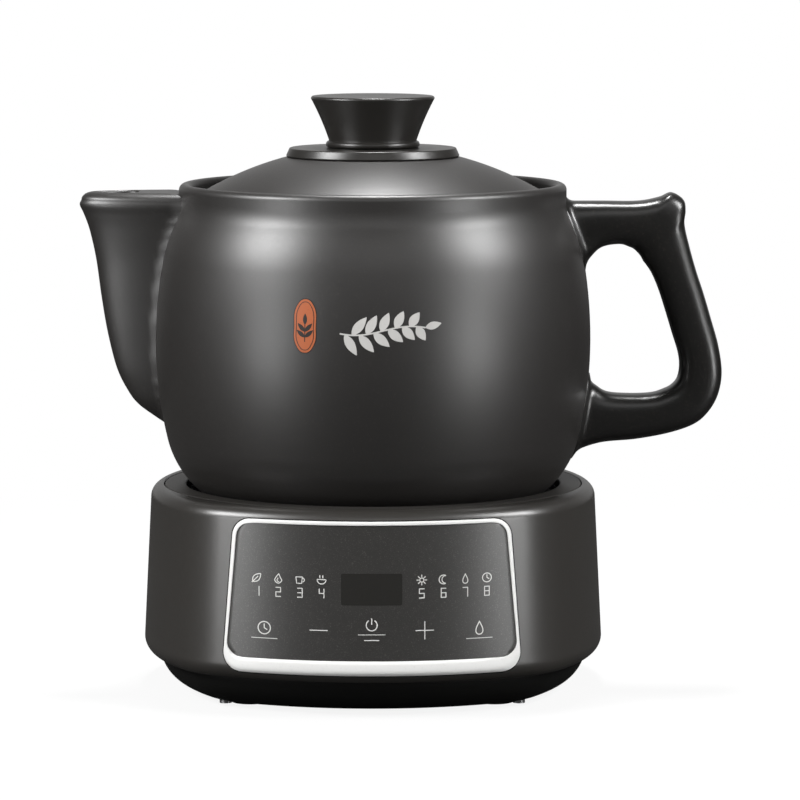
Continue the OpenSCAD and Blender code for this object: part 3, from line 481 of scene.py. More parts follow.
# %% Softboxes
def softbox(name, place, target, width, height, power):
    """A rectangle that shines from place towards target, in metres and watts."""
    light = bpy.data.lights.new(name, "AREA")
    light.shape, light.size, light.size_y, light.energy = "RECTANGLE", width, height, power
    box = bpy.data.objects.new(name, light)
    box.location = place
    toward = np.array(target, float) - np.array(place, float)
    tilt = math.atan2(math.hypot(toward[0], toward[1]), -toward[2])
    box.rotation_euler = (tilt, 0, math.atan2(toward[1], toward[0]) - math.pi / 2)
    bpy.context.scene.collection.objects.link(box)
    return box


MIDDLE = (0.0, 0.0, 0.15)
for name, place, width, height, power in (
    ("left_softbox", (-1.28, -0.62, 1.0), 0.75, 0.6, 31),
    ("right_softbox", (1.18, -0.54, 0.96), 0.55, 0.6, 22),
    ("low_left", (-1.04, -0.79, 0.1), 0.4, 0.3, 4.2),
    ("low_right", (1.02, -0.79, 0.1), 0.4, 0.3, 4.4),
    ("back_top_softbox", (0.04, 0.26, 1.45), 0.24, 0.3, 18),
    ("front_fill", (0.1, -1.9, 1.2), 1.2, 0.8, 3),
):
    softbox(name, place, MIDDLE, width, height, power)
print("softboxes:", len(bpy.data.lights))


# %% [markdown]
# A real studio has walls that a glaze mirrors as soft grey. The world is white for the camera alone. In
# reflections it is dim, but for a band low behind the pot, where a direction points mostly towards +Y.
# Upper faces that the camera sees at a slant mirror that band.
#
# The floor is pale paper that glows for the camera alone, less so near the object, where a soft shadow
# shows. In reflections the paper is dark, because the photograph shows no bright floor mirrored in the
# base. A cut-out on a white image would look much the same, but would have no shadow at all.

# %% White surroundings
FRONT_LEVEL, BACK_LEVEL = 0.06, 0.6
BAND_START = 0.72  # the share of +Y in a direction from which the world gets brighter
world = bpy.data.worlds.new("studio")
world.use_nodes = True
bpy.context.scene.world = world
tree, link = world.node_tree, world.node_tree.links.new
axes = add_node(tree, "ShaderNodeSeparateXYZ")
link(add_node(tree, "ShaderNodeTexCoord").outputs["Generated"], axes.inputs["Vector"])
room = add_node(tree, "ShaderNodeMapRange", From_Min=BAND_START, From_Max=1.0, To_Min=FRONT_LEVEL,
                To_Max=BACK_LEVEL)
link(axes.outputs["Y"], room.inputs["Value"])
level = add_node(tree, "ShaderNodeMix", B=1.0)
link(add_node(tree, "ShaderNodeLightPath").outputs["Is Camera Ray"], level.inputs["Factor"])
link(room.outputs["Result"], level.inputs["A"])
background = tree.nodes["Background"]
background.inputs["Color"].default_value = (1, 1, 1, 1)
link(level.outputs["Result"], background.inputs["Strength"])
print("world levels:", FRONT_LEVEL, "in front,", BACK_LEVEL, "behind")

# %% Floor
FLOOR = 6.0  # half of its side, in metres
floor_mesh = bpy.data.meshes.new("floor")
floor_mesh.from_pydata([(-FLOOR, -FLOOR, 0), (FLOOR, -FLOOR, 0), (FLOOR, FLOOR, 0), (-FLOOR, FLOOR, 0)], [],
                       [(0, 1, 2, 3)])
floor = bpy.data.objects.new("floor", floor_mesh)
bpy.context.scene.collection.objects.link(floor)
print("floor:", 2 * FLOOR, "m wide")

# %% Paper
NEAR, FAR, NEAR_GLOW = 0.2, 0.7, 0.88  # metres from the middle, and the glow's share up to NEAR
MIRRORED_TONE, SEEN_TONE = 0.04, 0.8  # the paper in reflections, and as the camera sees it
paper = bpy.data.materials.new("paper")
paper.use_nodes = True
tree, link = paper.node_tree, paper.node_tree.links.new
by_camera = add_node(tree, "ShaderNodeLightPath").outputs["Is Camera Ray"]
diffuse = tree.nodes["Principled BSDF"]
diffuse.inputs["Roughness"].default_value = 0.9
diffuse.inputs["Specular IOR Level"].default_value = 0.0
paleness = add_node(tree, "ShaderNodeMix", A=MIRRORED_TONE, B=SEEN_TONE)
link(by_camera, paleness.inputs["Factor"])
link(paleness.outputs["Result"], diffuse.inputs["Base Color"])
away = add_node(tree, "ShaderNodeVectorMath")
away.operation = "LENGTH"
link(add_node(tree, "ShaderNodeTexCoord").outputs["Object"], away.inputs[0])
glow = add_node(tree, "ShaderNodeMapRange", From_Min=NEAR, From_Max=FAR, To_Min=NEAR_GLOW)
link(away.outputs["Value"], glow.inputs["Value"])
seen = add_node(tree, "ShaderNodeMath")
seen.operation = "MULTIPLY"
link(glow.outputs["Result"], seen.inputs[0])
link(by_camera, seen.inputs[1])
cover = add_node(tree, "ShaderNodeMixShader")
link(seen.outputs[0], cover.inputs["Fac"])
link(diffuse.outputs["BSDF"], cover.inputs[1])
link(add_node(tree, "ShaderNodeEmission").outputs["Emission"], cover.inputs[2])
link(cover.outputs["Shader"], tree.nodes["Material Output"].inputs["Surface"])
floor_mesh.materials.append(paper)
print("paper:", len(tree.nodes), "nodes")

# %% [markdown]
# ## The pot
# The body is thrown stoneware: a round belly, a soft shoulder, an upright neck with a rolled rim and a
# ledge inside it for the lid. A sculpted ball could be pulled into that shape, but a thrown pot is a
# turned outline. It is a walk of arcs away from the widest line, down to the foot and up to the neck,
# and the inner wall is the same walk moved in by the wall.


# %% Outside of the pot
def box_mm(node):
    """The lowest and the highest corner of a node's box in millimetres."""
    return [np.array(corner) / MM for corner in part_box(node)]


POT_Z, BELLY_R, BELLY_H = box_mm("pot_body")[0][2], 105.2, 83.5
POT_WALL, POT_FLOOR, NECK_WALL, LEDGE_W, LEDGE_DROP = 6.0, 7.0, 6.0, 9.0, 6.5
BELLY = (BELLY_R, POT_Z + BELLY_H)
down = walk(BELLY, -90, [(205, -13.5), (47, -56)])
up = walk(BELLY, 90, [(226, 10), (80, 15), (22, -25), (4, 0)])
full = np.vstack([down[::-1], up[1:]])
outer = full[full[:, 1] > POT_Z + 0.4]
foot = arc((outer[0, 0] - 2.0, POT_Z + 1.6), 1.6, -90, -30, 8)


def pot_radius(z):
    """The outer radius of the pot at height z, read from its outline by straight steps."""
    return np.interp(z, outer[:, 1], outer[:, 0])


print("pot: %.1f mm at the belly, %.1f mm at the neck" % (2 * pot_radius(BELLY[1]), 2 * up[-1][0]))

# %% Inside of the pot
neck_r, neck_z = up[-1]
neck_in = neck_r - NECK_WALL
lid_z = neck_z - LEDGE_DROP
ledge_in = neck_in - LEDGE_W
inner = offset(full, POT_WALL)
inner = inner[(inner[:, 1] > POT_Z + POT_FLOOR + 5) & (inner[:, 1] < lid_z - LEDGE_W)]
bowl = arc((inner[0, 0] - 9, POT_Z + POT_FLOOR + 9), 9, -90, -30, 10)
ledge = np.vstack([
    arc((neck_in - 1.0, lid_z + 1.0), 1.0, 0, -90, 6),
    arc((ledge_in + 1.0, lid_z - 1.0), 1.0, 90, 180, 6),
    arc((ledge_in + 1.0, lid_z - 3.0), 1.0, 180, 250, 6),
])
print("inside: %.1f mm wide, ledge at %.1f mm" % (2 * inner[:, 0].max(), lid_z))

# %% Turned pot
pot_profile = np.vstack([
    [[0, POT_Z + 0.6], [foot[0, 0] - 9, POT_Z + 0.6], [foot[0, 0] - 8, POT_Z]], foot, outer,
    arc((neck_r - NECK_WALL / 2, neck_z), NECK_WALL / 2, 0, 180, 28), ledge, inner[::-1],
    bowl[::-1], [[0, POT_Z + POT_FLOOR]],
])
pot_piece = make_piece("pot_shell", *revolve(pot_profile, 256), "pot", stoneware, ["pot_body"], "stoneware",
                       50)

# %% [markdown]
# Behind the spout the wall is a strainer, a patch of round holes that keep the herbs back. They are
# pierced in the wet clay, so they are cut out of the turned wall here too.

# %% Strainer holes
STRAINER_R, STRAINER_STEP, STRAINER_LOW, STRAINER_SIDES = 2.5, (8, 12), -14, 16
across, up_step = STRAINER_STEP
strainer_at = [(across * c, up_step * r) for r in range(5) for c in (-1, 0, 1) if c == 0 or r > 1]
hole = STRAINER_R * np.exp(1j * np.arange(STRAINER_SIDES) * 2 * math.pi / STRAINER_SIDES)
strainer_cutters = []
for y, h in strainer_at:
    z = BELLY[1] + STRAINER_LOW + h + hole.imag
    ends = [np.column_stack([np.full(STRAINER_SIDES, x), y + hole.real, z]) for x in (-112, -84)]
    strainer_cutters.append(cutter(*loft(np.array(ends))))
carve(pot_piece, strainer_cutters)
print("strainer:", len(strainer_at), "holes")

# %% [markdown]
# ## The spout
# It is pulled from the same clay: a half-round gutter that widens upwards, with a closed, flat top and
# an egg-shaped mouth near the tip. A tube along a path would be round everywhere, so it is lofted: each
# ring runs round the nose and back along the pot's wall. The last millimetres before the wall flare
# out, as the potter smooths clay into the corner.

# %% Stations of the spout
REACH, SPOUT_HALF, SPOUT_ROOT, SPOUT_WALL = -box_mm("spout")[0][0], 20.5, 78.0, 4.5
# height above the pot's foot, millimetres past the belly, share of the half width
spout_rows = np.array([
    [43, -3.6, 0.16], [46, 0.8, 0.3], [51.5, 8.2, 0.42], [57.5, 13, 0.5], [69, 18.7, 0.58],
    [86.5, 23.1, 0.66], [104, 26, 0.73], [122, 28.4, 0.81], [136, 31.4, 0.9], [144, 34.2, 0.96],
    [148.5, 36.2, 1], [151, 35.4, 0.99],
])
NOSE = 60  # points round a ring
PAST_BELLY = spout_rows[:, 1].max()
SINK = 2.5  # how deep the ends stand in the pot's wall
print("spout:", len(spout_rows), "stations, %.0f mm past the belly at most" % PAST_BELLY)


# %% Rings of the spout
def nose(z, reach, half):
    """x = -root - (reach - root) cos a and y = half |sin a|^0.86, for a from -90 to 90 degrees."""
    a = np.radians(np.linspace(-90, 90, NOSE))
    x = -SPOUT_ROOT - (reach - SPOUT_ROOT) * np.cos(a)
    return np.stack(np.broadcast_arrays(x, half * np.sign(a) * np.abs(np.sin(a)) ** 0.86, z), -1)


def spout_rings(thin, rows=70):
    """Rings of the spout's skin from its root to the edge of its top, moved in by thin."""
    t = through(spout_rows, rows)
    reach = BELLY_R + t[:, 1] * (REACH - BELLY_R) / PAST_BELLY - thin
    half = np.maximum(0.8, SPOUT_HALF * t[:, 2] - thin)
    return nose((POT_Z + t[:, 0])[:, None], reach[:, None], half[:, None])


print("spout rings:", spout_rings(0.0).shape[:2])


# %% Onto the pot's wall
def onto_wall(rings, sink, fillet=0.0):
    """Moves points that lie deeper than sink in the pot outwards along x, to sink under its surface.
    Points at a distance d below fillet from it first move sideways, by fillet (1 - sqrt(1 - (1 - d /
    fillet)^2)), which is a quarter circle."""
    r = np.hypot(rings[..., 0], rings[..., 1])
    wall = pot_radius(rings[..., 2])
    if fillet:
        near = np.clip(1 - (r - wall) / fillet, 0, 1)
        rings = rings.copy()
        middle = rings[:, :, 1].mean(1, keepdims=True)
        rings[..., 1] += np.sign(rings[..., 1] - middle) * fillet * (1 - np.sqrt(1 - near**2))
        r = np.hypot(rings[..., 0], rings[..., 1])
    y = rings[..., 1]
    reach = np.sqrt(np.maximum((wall - sink) ** 2 - y**2, 0))
    rings = rings.copy()
    rings[..., 0] = np.where(r < wall - sink, np.sign(rings[..., 0]) * reach, rings[..., 0])
    return rings


SPOUT_FLARE, FADE_ROWS = 1.4, 12  # the flare at the wall, and the rings over which it ends at the top
side = onto_wall(spout_rings(0.0), SINK)
fade = np.clip((len(side) - 1 - np.arange(len(side))) / FADE_ROWS, 0, 1)[:, None, None]
side = side + fade * (onto_wall(spout_rings(0.0), SINK, SPOUT_FLARE) - side)
print("spout side:", side.shape[0], "rings of", side.shape[1], "points")

# %% Mouth of the spout
MOUTH_L, MOUTH_R, WIDENING, MOUTH_IN = 22.0, 8.5, 3.5, 2.4
LIP_R, EGG = 1.4, 2.4  # the rounding of the mouth's edge, and the power of its outline
mouth_c = np.array([-REACH + SPOUT_WALL + MOUTH_IN + MOUTH_L / 2, 0.0])


def mouth_at(direction, grow=0.0):
    """Where a ray at an angle from the mouth's centre meets its outline, |c / l|^p + |s / w|^p = 1 / r^p.
    The half width w grows with the angle's cosine c, so the egg is narrow at the tip and wide inwards."""
    c, s = np.cos(direction), np.sin(direction)
    half_l = MOUTH_L / 2 + grow
    half_w = MOUTH_R + grow + WIDENING * c
    r = 1 / ((np.abs(c) / half_l) ** EGG + (np.abs(s) / half_w) ** EGG) ** (1 / EGG)
    return np.stack([mouth_c[0] + r * c, mouth_c[1] + r * s], -1)


mouth_size = np.ptp(mouth_at(np.radians(np.arange(360))), axis=0)
print("mouth: %.1f mm long, %.1f mm wide at most" % tuple(mouth_size))

# %% [markdown]
# The top runs from the side's last ring to the mouth. It rises to a low crown in the first millimetres,
# as wet clay does under a finger. A height that only follows the rings would dip where they crowd at the
# neck, so it follows each point's distance to the spout's edge.

# %% Top of the spout
CROWN, RUN = 3.9, 6.0  # the crown's height, and the way over which it rises
edge = side[-1]
direction = np.arctan2(edge[:, 1] - mouth_c[1], edge[:, 0] - mouth_c[0])
lip = mouth_at(direction, LIP_R)
share = 1 - np.cos(np.radians(np.linspace(8, 90, 16)))[:, None]
top_xy = edge[None, :, :2] * (1 - share[..., None]) + lip[None] * share[..., None]
brink = spout_rings(0.0)[-1, :, :2]
brink = np.vstack([brink[0] + [[30, 0], [20, 0], [10, 0]], brink, brink[-1] + [[10, 0], [20, 0], [30, 0]]])
brink = np.column_stack([np.interp(np.linspace(0, len(brink) - 1, 900), np.arange(len(brink)), c)
                         for c in brink.T])
gone = np.linalg.norm(top_xy[:, :, None] - brink, axis=-1).min(-1)  # from each point to the edge
gone[0] = 0
top_z = edge[None, :, 2] + CROWN * np.sqrt(1 - (1 - np.clip(gone / RUN, 0, 1)) ** 2)
top = np.concatenate([top_xy, top_z[..., None]], -1)
print("top of the spout: %.1f mm high at most" % top_z.max())

# %% Lip, throat and inside of the spout
THROAT = np.array([3.5, 5.5])  # two rings of the mouth's upright wall, below the lowest lip
INNER_SINK, INNER_TOP, INNER_FOOT = 2.0, 6.5, 52  # in the wall, below the lip, above the pot's foot
lip_z = top[-1, :, 2]
turns = np.radians(np.linspace(15, 90, 6))[:, None]
mouth = mouth_at(direction)
rim_xy = mouth[None] + (lip - mouth)[None] * (1 - np.sin(turns))[..., None]
rim = np.concatenate([rim_xy, (lip_z[None] - LIP_R * (1 - np.cos(turns)))[..., None]], -1)
throat_z = np.broadcast_to((lip_z.min() - THROAT)[:, None, None], (2, len(direction), 1))
throat = np.concatenate([mouth[None].repeat(2, 0), throat_z], -1)
inside = onto_wall(spout_rings(SPOUT_WALL, 30), INNER_SINK)
inside = inside[(inside[:, 0, 2] < lip_z.min() - INNER_TOP) & (inside[:, 0, 2] > POT_Z + INNER_FOOT)]
make_piece("spout_skin", *loft(np.concatenate([side, top, rim, throat, inside[::-1]])), "pot",
           stoneware, ["spout"], "stoneware", 55)

# %% [markdown]
# ## The handle
# A loop with flat cheeks and rounded edges, glazed almost black. A round tube bent along one line would
# be as thick everywhere, but this loop is broad at the top and thin in the grip. So its outer and inner
# edges are drawn as two curves, and at each station a squared oval spans them. It meets the pot in a
# small smoothed corner.

# %% Handle stations
HANDLE_HALF, SQUARE = 11.5, 0.6
handle_rows = np.array([  # outer x, z and inner x, z: past the belly, and above the pot's foot
    [-16, 150.3, -12, 114], [-9, 150.3, -2.4, 121], [5.6, 150.3, 4.6, 127.8], [22.6, 150.3, 13.4, 129.6],
    [33, 152.2, 18.6, 128.2], [38.9, 154.4, 21, 126.9], [44.6, 151, 23.8, 124], [45.6, 145.8, 25.4, 121.2],
    [45.1, 139.3, 26.8, 119.4], [47.4, 129, 29.6, 115], [50.8, 117, 33, 107], [54.3, 106.5, 36.4, 96.5],
    [58.2, 93.5, 39.6, 86], [61.9, 80.2, 42.4, 77], [63.6, 67, 43.2, 70.4], [61.6, 56, 42.2, 64.6],
    [56.6, 47.6, 39.6, 61.2], [49.8, 42.1, 36, 59.2], [38, 38, 29.6, 57.2], [22, 35, 18.6, 56.8],
    [5.6, 33.4, 8, 57.8], [-6.5, 29.6, 1.5, 61.7], [-22, 23, -12, 70],
])


def handle_rings(rows=200, around=48):
    """Each ring is middle + half span cos^0.6 a in the plane, and the half thickness sin^0.6 a across."""
    t = through(handle_rows, rows)
    out, into = t[:, None, :2] + [BELLY_R, POT_Z], t[:, None, 2:] + [BELLY_R, POT_Z]
    a = np.radians(np.arange(around) * 360 / around)[None, :, None]
    c, s = np.cos(a), np.sin(a)
    across = (out + into) / 2 + (out - into) / 2 * np.sign(c) * np.abs(c) ** SQUARE
    y = np.broadcast_to(HANDLE_HALF * np.sign(s) * np.abs(s) ** SQUARE, across.shape[:2] + (1,))
    return np.concatenate([across[..., :1], y, across[..., 1:]], -1)


def flare(rings, fillet):
    """Moves points at a distance d below fillet from the pot's wall away from their ring's middle, by
    fillet (1 - sqrt(1 - (1 - d / fillet)^2))."""
    middle = rings.mean(1, keepdims=True)
    r = np.hypot(rings[..., 0], rings[..., 1])
    near = np.clip(1 - (r - pot_radius(rings[..., 2])) / fillet, 0, 1)[..., None]
    away = rings - middle
    away /= np.linalg.norm(away, axis=-1, keepdims=True)
    return rings + away * fillet * (1 - np.sqrt(1 - near**2))


print("handle:", len(handle_rings()), "stations")

# %% Handle
HANDLE_FLARE = 3.6
rings = flare(handle_rings(), HANDLE_FLARE)
depth = np.hypot(rings[..., 0], rings[..., 1]) - pot_radius(rings[..., 2])
showing = np.flatnonzero(depth.max(1) > -SINK)  # rings wholly inside the wall are left out
rings = onto_wall(rings[max(0, showing[0] - 1): showing[-1] + 2], SINK)
make_piece("handle_loop", *loft(rings), "pot", handle_glaze, ["handle"], "handle_glaze", 60)

# %% [markdown]
# ## The lid
# A shallow dome with a thick edge that drops into the neck. The knob is a flared plastic cone on a
# wide, thin collar that hangs just clear of the dome, so a dark line shows under it. All three are
# turned: a dome from a flattened ball would have the wrong curve, while one arc of the measured radius
# is right from the edge to the seat of the collar.

# %% Lid
DOME, LID_WALL, SEAT_R, LID_EDGE, SKIRT_H, LID_HOLE = 162.0, 5.0, 30.0, 3.4, 6.5, 4.5
DOME_END, BOSS_H, BOSS_R = 1.6, 6.5, 14.5  # the dome stops short of the edge; the boss round the hole
lid_r, under = box_mm("lid")[1][0], lid_z + 0.3
skirt_r = ledge_in - 2
dome_c = under + LID_EDGE - math.sqrt(DOME**2 - (lid_r - DOME_END) ** 2)
seat_z = dome_c + math.sqrt(DOME**2 - SEAT_R**2)
angle_in = math.degrees(math.asin(SEAT_R / DOME))
angle_out = math.degrees(math.asin((lid_r - DOME_END) / DOME))
inner_out = math.degrees(math.asin((skirt_r - 5) / (DOME - LID_WALL)))
boss = seat_z - BOSS_H
lid_profile = np.vstack([
    [[LID_HOLE, seat_z], [SEAT_R - 0.2, seat_z]],
    arc((0, dome_c), DOME, 90 - angle_in, 90 - angle_out, 60),
    arc((lid_r - 1.3, under + LID_EDGE - 1.7), 1.3, 50, 0, 6),
    arc((lid_r - 1.0, under + 1.0), 1.0, 0, -90, 6),
    [[skirt_r + 0.6, under]], arc((skirt_r - 1.0, under - SKIRT_H + 1.0), 1.0, 0, -90, 6),
    arc((skirt_r - 3.0, under - SKIRT_H + 1.0), 1.0, -90, -180, 6),
    arc((0, dome_c), DOME - LID_WALL, 90 - inner_out, 83.4, 40), [[BOSS_R, boss], [LID_HOLE, boss]],
])
make_piece("lid_dome", *revolve(lid_profile, 256), "lid", stoneware, ["lid"], "stoneware", 40)

# %% Collar
COLLAR_R, COLLAR_TOP = 40.3, box_mm("knob_collar")[1][2]
hang = dome_c + math.sqrt(DOME**2 - (COLLAR_R + 1.4) ** 2)
collar_profile = np.vstack([
    [[5.5, seat_z + 0.8], [22.2, seat_z + 0.8], [22.2, seat_z], [30, seat_z]],
    [[32, seat_z + 0.7], [36, seat_z + 0.4]], [[COLLAR_R - 1.6, hang + 1.0]],
    arc((COLLAR_R + 0.9, hang + 0.9), 0.5, -90, 12, 8),
    arc((COLLAR_R - 0.7, COLLAR_TOP - 0.8), 0.8, 12, 90, 10), [[5.5, COLLAR_TOP]],
])
make_piece("collar", *revolve(collar_profile, 192), "lid", collar_plastic, ["knob_collar"],
           "collar_plastic", 40)

# %% Knob
KNOB_R, KNOB_NECK, KNOB_TOP = 29.8, 21.2, box_mm("lid_knob")[1][2]
ROLL, HOLLOW, KNOB_CORNER, SOCKET_H = 1.7, 0.5, 1.2, 14  # bead above the collar, waist, edge, screw socket
knob_h = KNOB_TOP - COLLAR_TOP
t = np.linspace(0, 1, 24)
flank = np.column_stack([
    KNOB_NECK + (KNOB_R - KNOB_NECK) * t - 4 * HOLLOW * t * (1 - t),
    COLLAR_TOP + 2 * ROLL + 0.4 + (knob_h - 2 * ROLL - 1.6) * t])
knob_profile = np.vstack([
    [[0, COLLAR_TOP + SOCKET_H], [4, COLLAR_TOP + SOCKET_H], [4, COLLAR_TOP],
     [KNOB_NECK - 0.5, COLLAR_TOP]],
    arc((KNOB_NECK - 0.3, COLLAR_TOP + ROLL), ROLL, -80, 80, 16), flank,
    arc((KNOB_R - KNOB_CORNER, KNOB_TOP - KNOB_CORNER), KNOB_CORNER, 0, 90, 10),
    [[20, KNOB_TOP - 0.15], [0, KNOB_TOP - 0.3]],
])
make_piece("knob", *revolve(knob_profile, 192), "lid", knob_plastic, ["lid_knob"], "knob_plastic", 40)

# %% [markdown]
# ## The base
# Seen from above, the housing is a rounded square of four long arcs and four tight ones. Its wall leans in
# a little, and its round top opening takes a ring. A rounded box with a bevel could stand in, but its
# sides would be flat. Here a ring of points round the base is worked out from a heading, and the
# housing's outline says how far out and how high each ring lies.

# %% Plan of the base
BASE_HALF, SIDE_ARC, SIDE_TURN = 111.0, 148.0, 29.0
BASE_H, WIDE_Z, LEAN, TOP_FILLET, LOW_FILLET, PARTING_Z = 97.8, 24.0, 3.4, 6.0, 8.0, 17.4
SEAM_R, WELL_R, WALL = 101.3, 90.5, 2.6
SIDE_C = SIDE_ARC - BASE_HALF
CORNER_ARC = SIDE_ARC - SIDE_C / (math.cos(math.radians(SIDE_TURN)) - math.sin(math.radians(SIDE_TURN)))
INLET_GAP = 0.3
inlet_low, inlet_high = box_mm("power_inlet")
HOLE_HALF, HOLE_HIGH = inlet_high[0] + INLET_GAP, inlet_high[2] + INLET_GAP
HOLE_LOW = inlet_low[2] - INLET_GAP
hole_turn = math.degrees(math.asin(HOLE_HALF / (SIDE_ARC - 1)))


def plan(heading, d):
    """The point of the base's outline that faces heading, d outside its widest line. On a side it is
    the side's centre plus (side arc + d) times (cos, sin), on a corner the same about the corner's."""
    heading, d = np.broadcast_arrays(heading, d)
    quarter = np.round(heading / 90)
    local = heading - 90 * quarter
    corner = np.abs(local) > SIDE_TURN
    span, a = SIDE_ARC - CORNER_ARC, math.radians(SIDE_TURN)
    cx = np.where(corner, span * math.cos(a) - SIDE_C, -SIDE_C)
    cy = np.where(corner, np.sign(local) * span * math.sin(a), 0)
    r = np.where(corner, CORNER_ARC, SIDE_ARC) + d
    x, y = cx + r * np.cos(np.radians(local)), cy + r * np.sin(np.radians(local))
    q = np.radians(90 * quarter)
    return np.stack([x * np.cos(q) - y * np.sin(q), x * np.sin(q) + y * np.cos(q)], -1)


print("corners of the base: %.1f mm from the axis" % np.linalg.norm(plan(45.0, 0.0)))

# %% Rings round the base
one_side = np.linspace(-SIDE_TURN, SIDE_TURN, 41)
one_corner = np.linspace(SIDE_TURN, 90 - SIDE_TURN, 22)[1:-1]
headings = np.concatenate([np.concatenate([one_side, one_corner]) + 90 * k for k in range(4)])
near_hole = [np.abs(headings - 90 - s * hole_turn).argmin() for s in (-1, 1)]
headings[near_hole] = [90 - hole_turn, 90 + hole_turn]


def plan_rings(outline):
    """One ring round the base for each (d, z) of an outline."""
    xy = plan(headings[None, :], outline[:, :1])
    return np.concatenate([xy, np.broadcast_to(outline[:, None, 1:], xy.shape[:2] + (1,))], -1)


def circle_rings(outline):
    """One round ring for each (r, z), with the same columns as the plan's rings."""
    a = np.radians(headings)
    r, z = outline[:, :1], outline[:, 1:]
    return np.stack(np.broadcast_arrays(r * np.cos(a), r * np.sin(a), z), -1)


print("plan of the base:", len(headings), "headings")

# %% [markdown]
# The housing's skin goes from the top opening over the rounded edge, down the wall, round the lower edge
# and back up inside. The power inlet's opening needs no boolean: two headings and two heights are
# placed on its edges, its faces are left out, and four jambs join the outside to the inside.

# %% Outline of the housing
low_turn = math.degrees(math.asin((WIDE_Z - PARTING_Z) / LOW_FILLET))
wall_z = np.array([BASE_H - TOP_FILLET - 6, HOLE_HIGH, HOLE_LOW, WIDE_Z + 1])


def wall_d(z):
    """How far out the leaning wall lies at height z: minus the lean times the share of the way up."""
    return -LEAN * (z - WIDE_Z) / (BASE_H - TOP_FILLET - WIDE_Z)


TOP_STEPS, RETURN_W, RETURN_H = 14, 3.0, 2.4  # points of the top edge, and the rim at the parting line
skin = np.vstack([
    arc((-LEAN - TOP_FILLET, BASE_H - TOP_FILLET), TOP_FILLET, 90, 0, TOP_STEPS),
    np.column_stack([wall_d(wall_z), wall_z]),
    arc((-LOW_FILLET, WIDE_Z), LOW_FILLET, 0, -low_turn, 12)])
return_d = skin[-1, 0] - RETURN_W
back_low = np.array([
    [return_d, PARTING_Z], [return_d, PARTING_Z + RETURN_H], [-WALL - 1.2, WIDE_Z - 1]])
back = np.vstack([
    back_low, np.column_stack([wall_d(wall_z[::-1]) - WALL, wall_z[::-1]]),
    [[-LEAN - TOP_FILLET, BASE_H - WALL]]])
SEAM_EDGE = 0.7
quarter_turn = np.radians([0, 30, 60, 90])
seam_edge = np.column_stack([SEAM_R + SEAM_EDGE * (1 - np.sin(quarter_turn)),
                             BASE_H - SEAM_EDGE * (1 - np.cos(quarter_turn))])
housing_rings = np.concatenate([
    circle_rings(seam_edge[::-1]), plan_rings(skin), plan_rings(back),
    circle_rings(np.array([[SEAM_R, BASE_H - WALL]]))])
print("housing:", len(housing_rings), "rings")

# %% Housing
points = housing_rings.reshape(-1, 3)
rows, columns = housing_rings.shape[:2]
quads = grid_faces(rows, columns, True)
first = len(seam_edge) + TOP_STEPS  # the row of the skin at the first wall height
above, below = first + 1, first + 2
inner_row = len(seam_edge) + len(skin) + len(back_low)  # the same height on the inside, from below
inner_low, inner_high = inner_row + 1, inner_row + 2
left, right = sorted(near_hole)
row, column = quads[:, 0] // columns, quads[:, 0] % columns
open_here = (column >= left) & (column < right) & ((row == above) | (row == inner_low))
quads = quads[~open_here]
span = np.arange(left, right)
at_left, at_right = (np.array([above, inner_high, inner_low, below]) * columns + c for c in (left, right))
jambs = [
    np.column_stack([above * columns + span, above * columns + span + 1, inner_high * columns + span + 1,
                     inner_high * columns + span]),
    np.column_stack([inner_low * columns + span, inner_low * columns + span + 1, below * columns + span + 1,
                     below * columns + span]),
    at_left[None], at_right[None, ::-1],
]
make_piece("housing_skin", points, outward(points, [quads, *jambs]), "base", housing_plastic, ["housing"],
           "base_housing", 40)

# %% [markdown]
# Under the housing shows the bottom shell as a black band that curls in to the underside, where four
# round recesses hold the screw heads. The screws drop in after moulding, so the recesses are cut out.

# %% Bottom shell
SHELL_LIFT, SHELL_WALL, SHELL_ARC, SHELL_FLOOR = 1.8, 2.4, 17.0, -45.0
shell_d = -LOW_FILLET * (1 - math.cos(math.radians(low_turn))) - 4.0
shell_c = (shell_d - SHELL_ARC, SHELL_LIFT + SHELL_ARC)
shell_high = PARTING_Z - 0.1
shell_outline = np.vstack([
    [[SHELL_FLOOR, SHELL_LIFT]], arc(shell_c, SHELL_ARC, -90, -5, 22), [[shell_d, shell_high]],
    [[shell_d - SHELL_WALL, shell_high]],
    arc(shell_c, SHELL_ARC - SHELL_WALL, -5, -90, 14), [[SHELL_FLOOR, SHELL_LIFT + SHELL_WALL]]])
shell_piece = make_piece("shell_skin", *loft(plan_rings(shell_outline)), "base", shell_plastic,
                         ["bottom_shell"], "bottom_shell", 40)
SCREW_RING, RECESS_R, RECESS_TOP, RECESS_SIDES = SEAM_R - 3.3, 3.2, 3.0, 24
CORNERS = np.radians([45, 135, 225, 315])
around = np.arange(RECESS_SIDES) * 2 * math.pi / RECESS_SIDES
recesses = []
for a in CORNERS:
    x = SCREW_RING * math.cos(a) + RECESS_R * np.cos(around)
    y = SCREW_RING * math.sin(a) + RECESS_R * np.sin(around)
    ends = [np.column_stack([x, y, np.full(RECESS_SIDES, z)]) for z in (-1, RECESS_TOP)]
    recesses.append(cutter(*loft(np.array(ends))))
carve(shell_piece, recesses)
print("bottom shell:", len(CORNERS), "screw recesses")

# %% [markdown]
# The ring closes the gap between the housing and the steel dish. The dish is pressed from thin sheet, so
# its inside follows its outside at the sheet's thickness. Both are turned, and so is one foot, whose
# copies stand at the four corners.

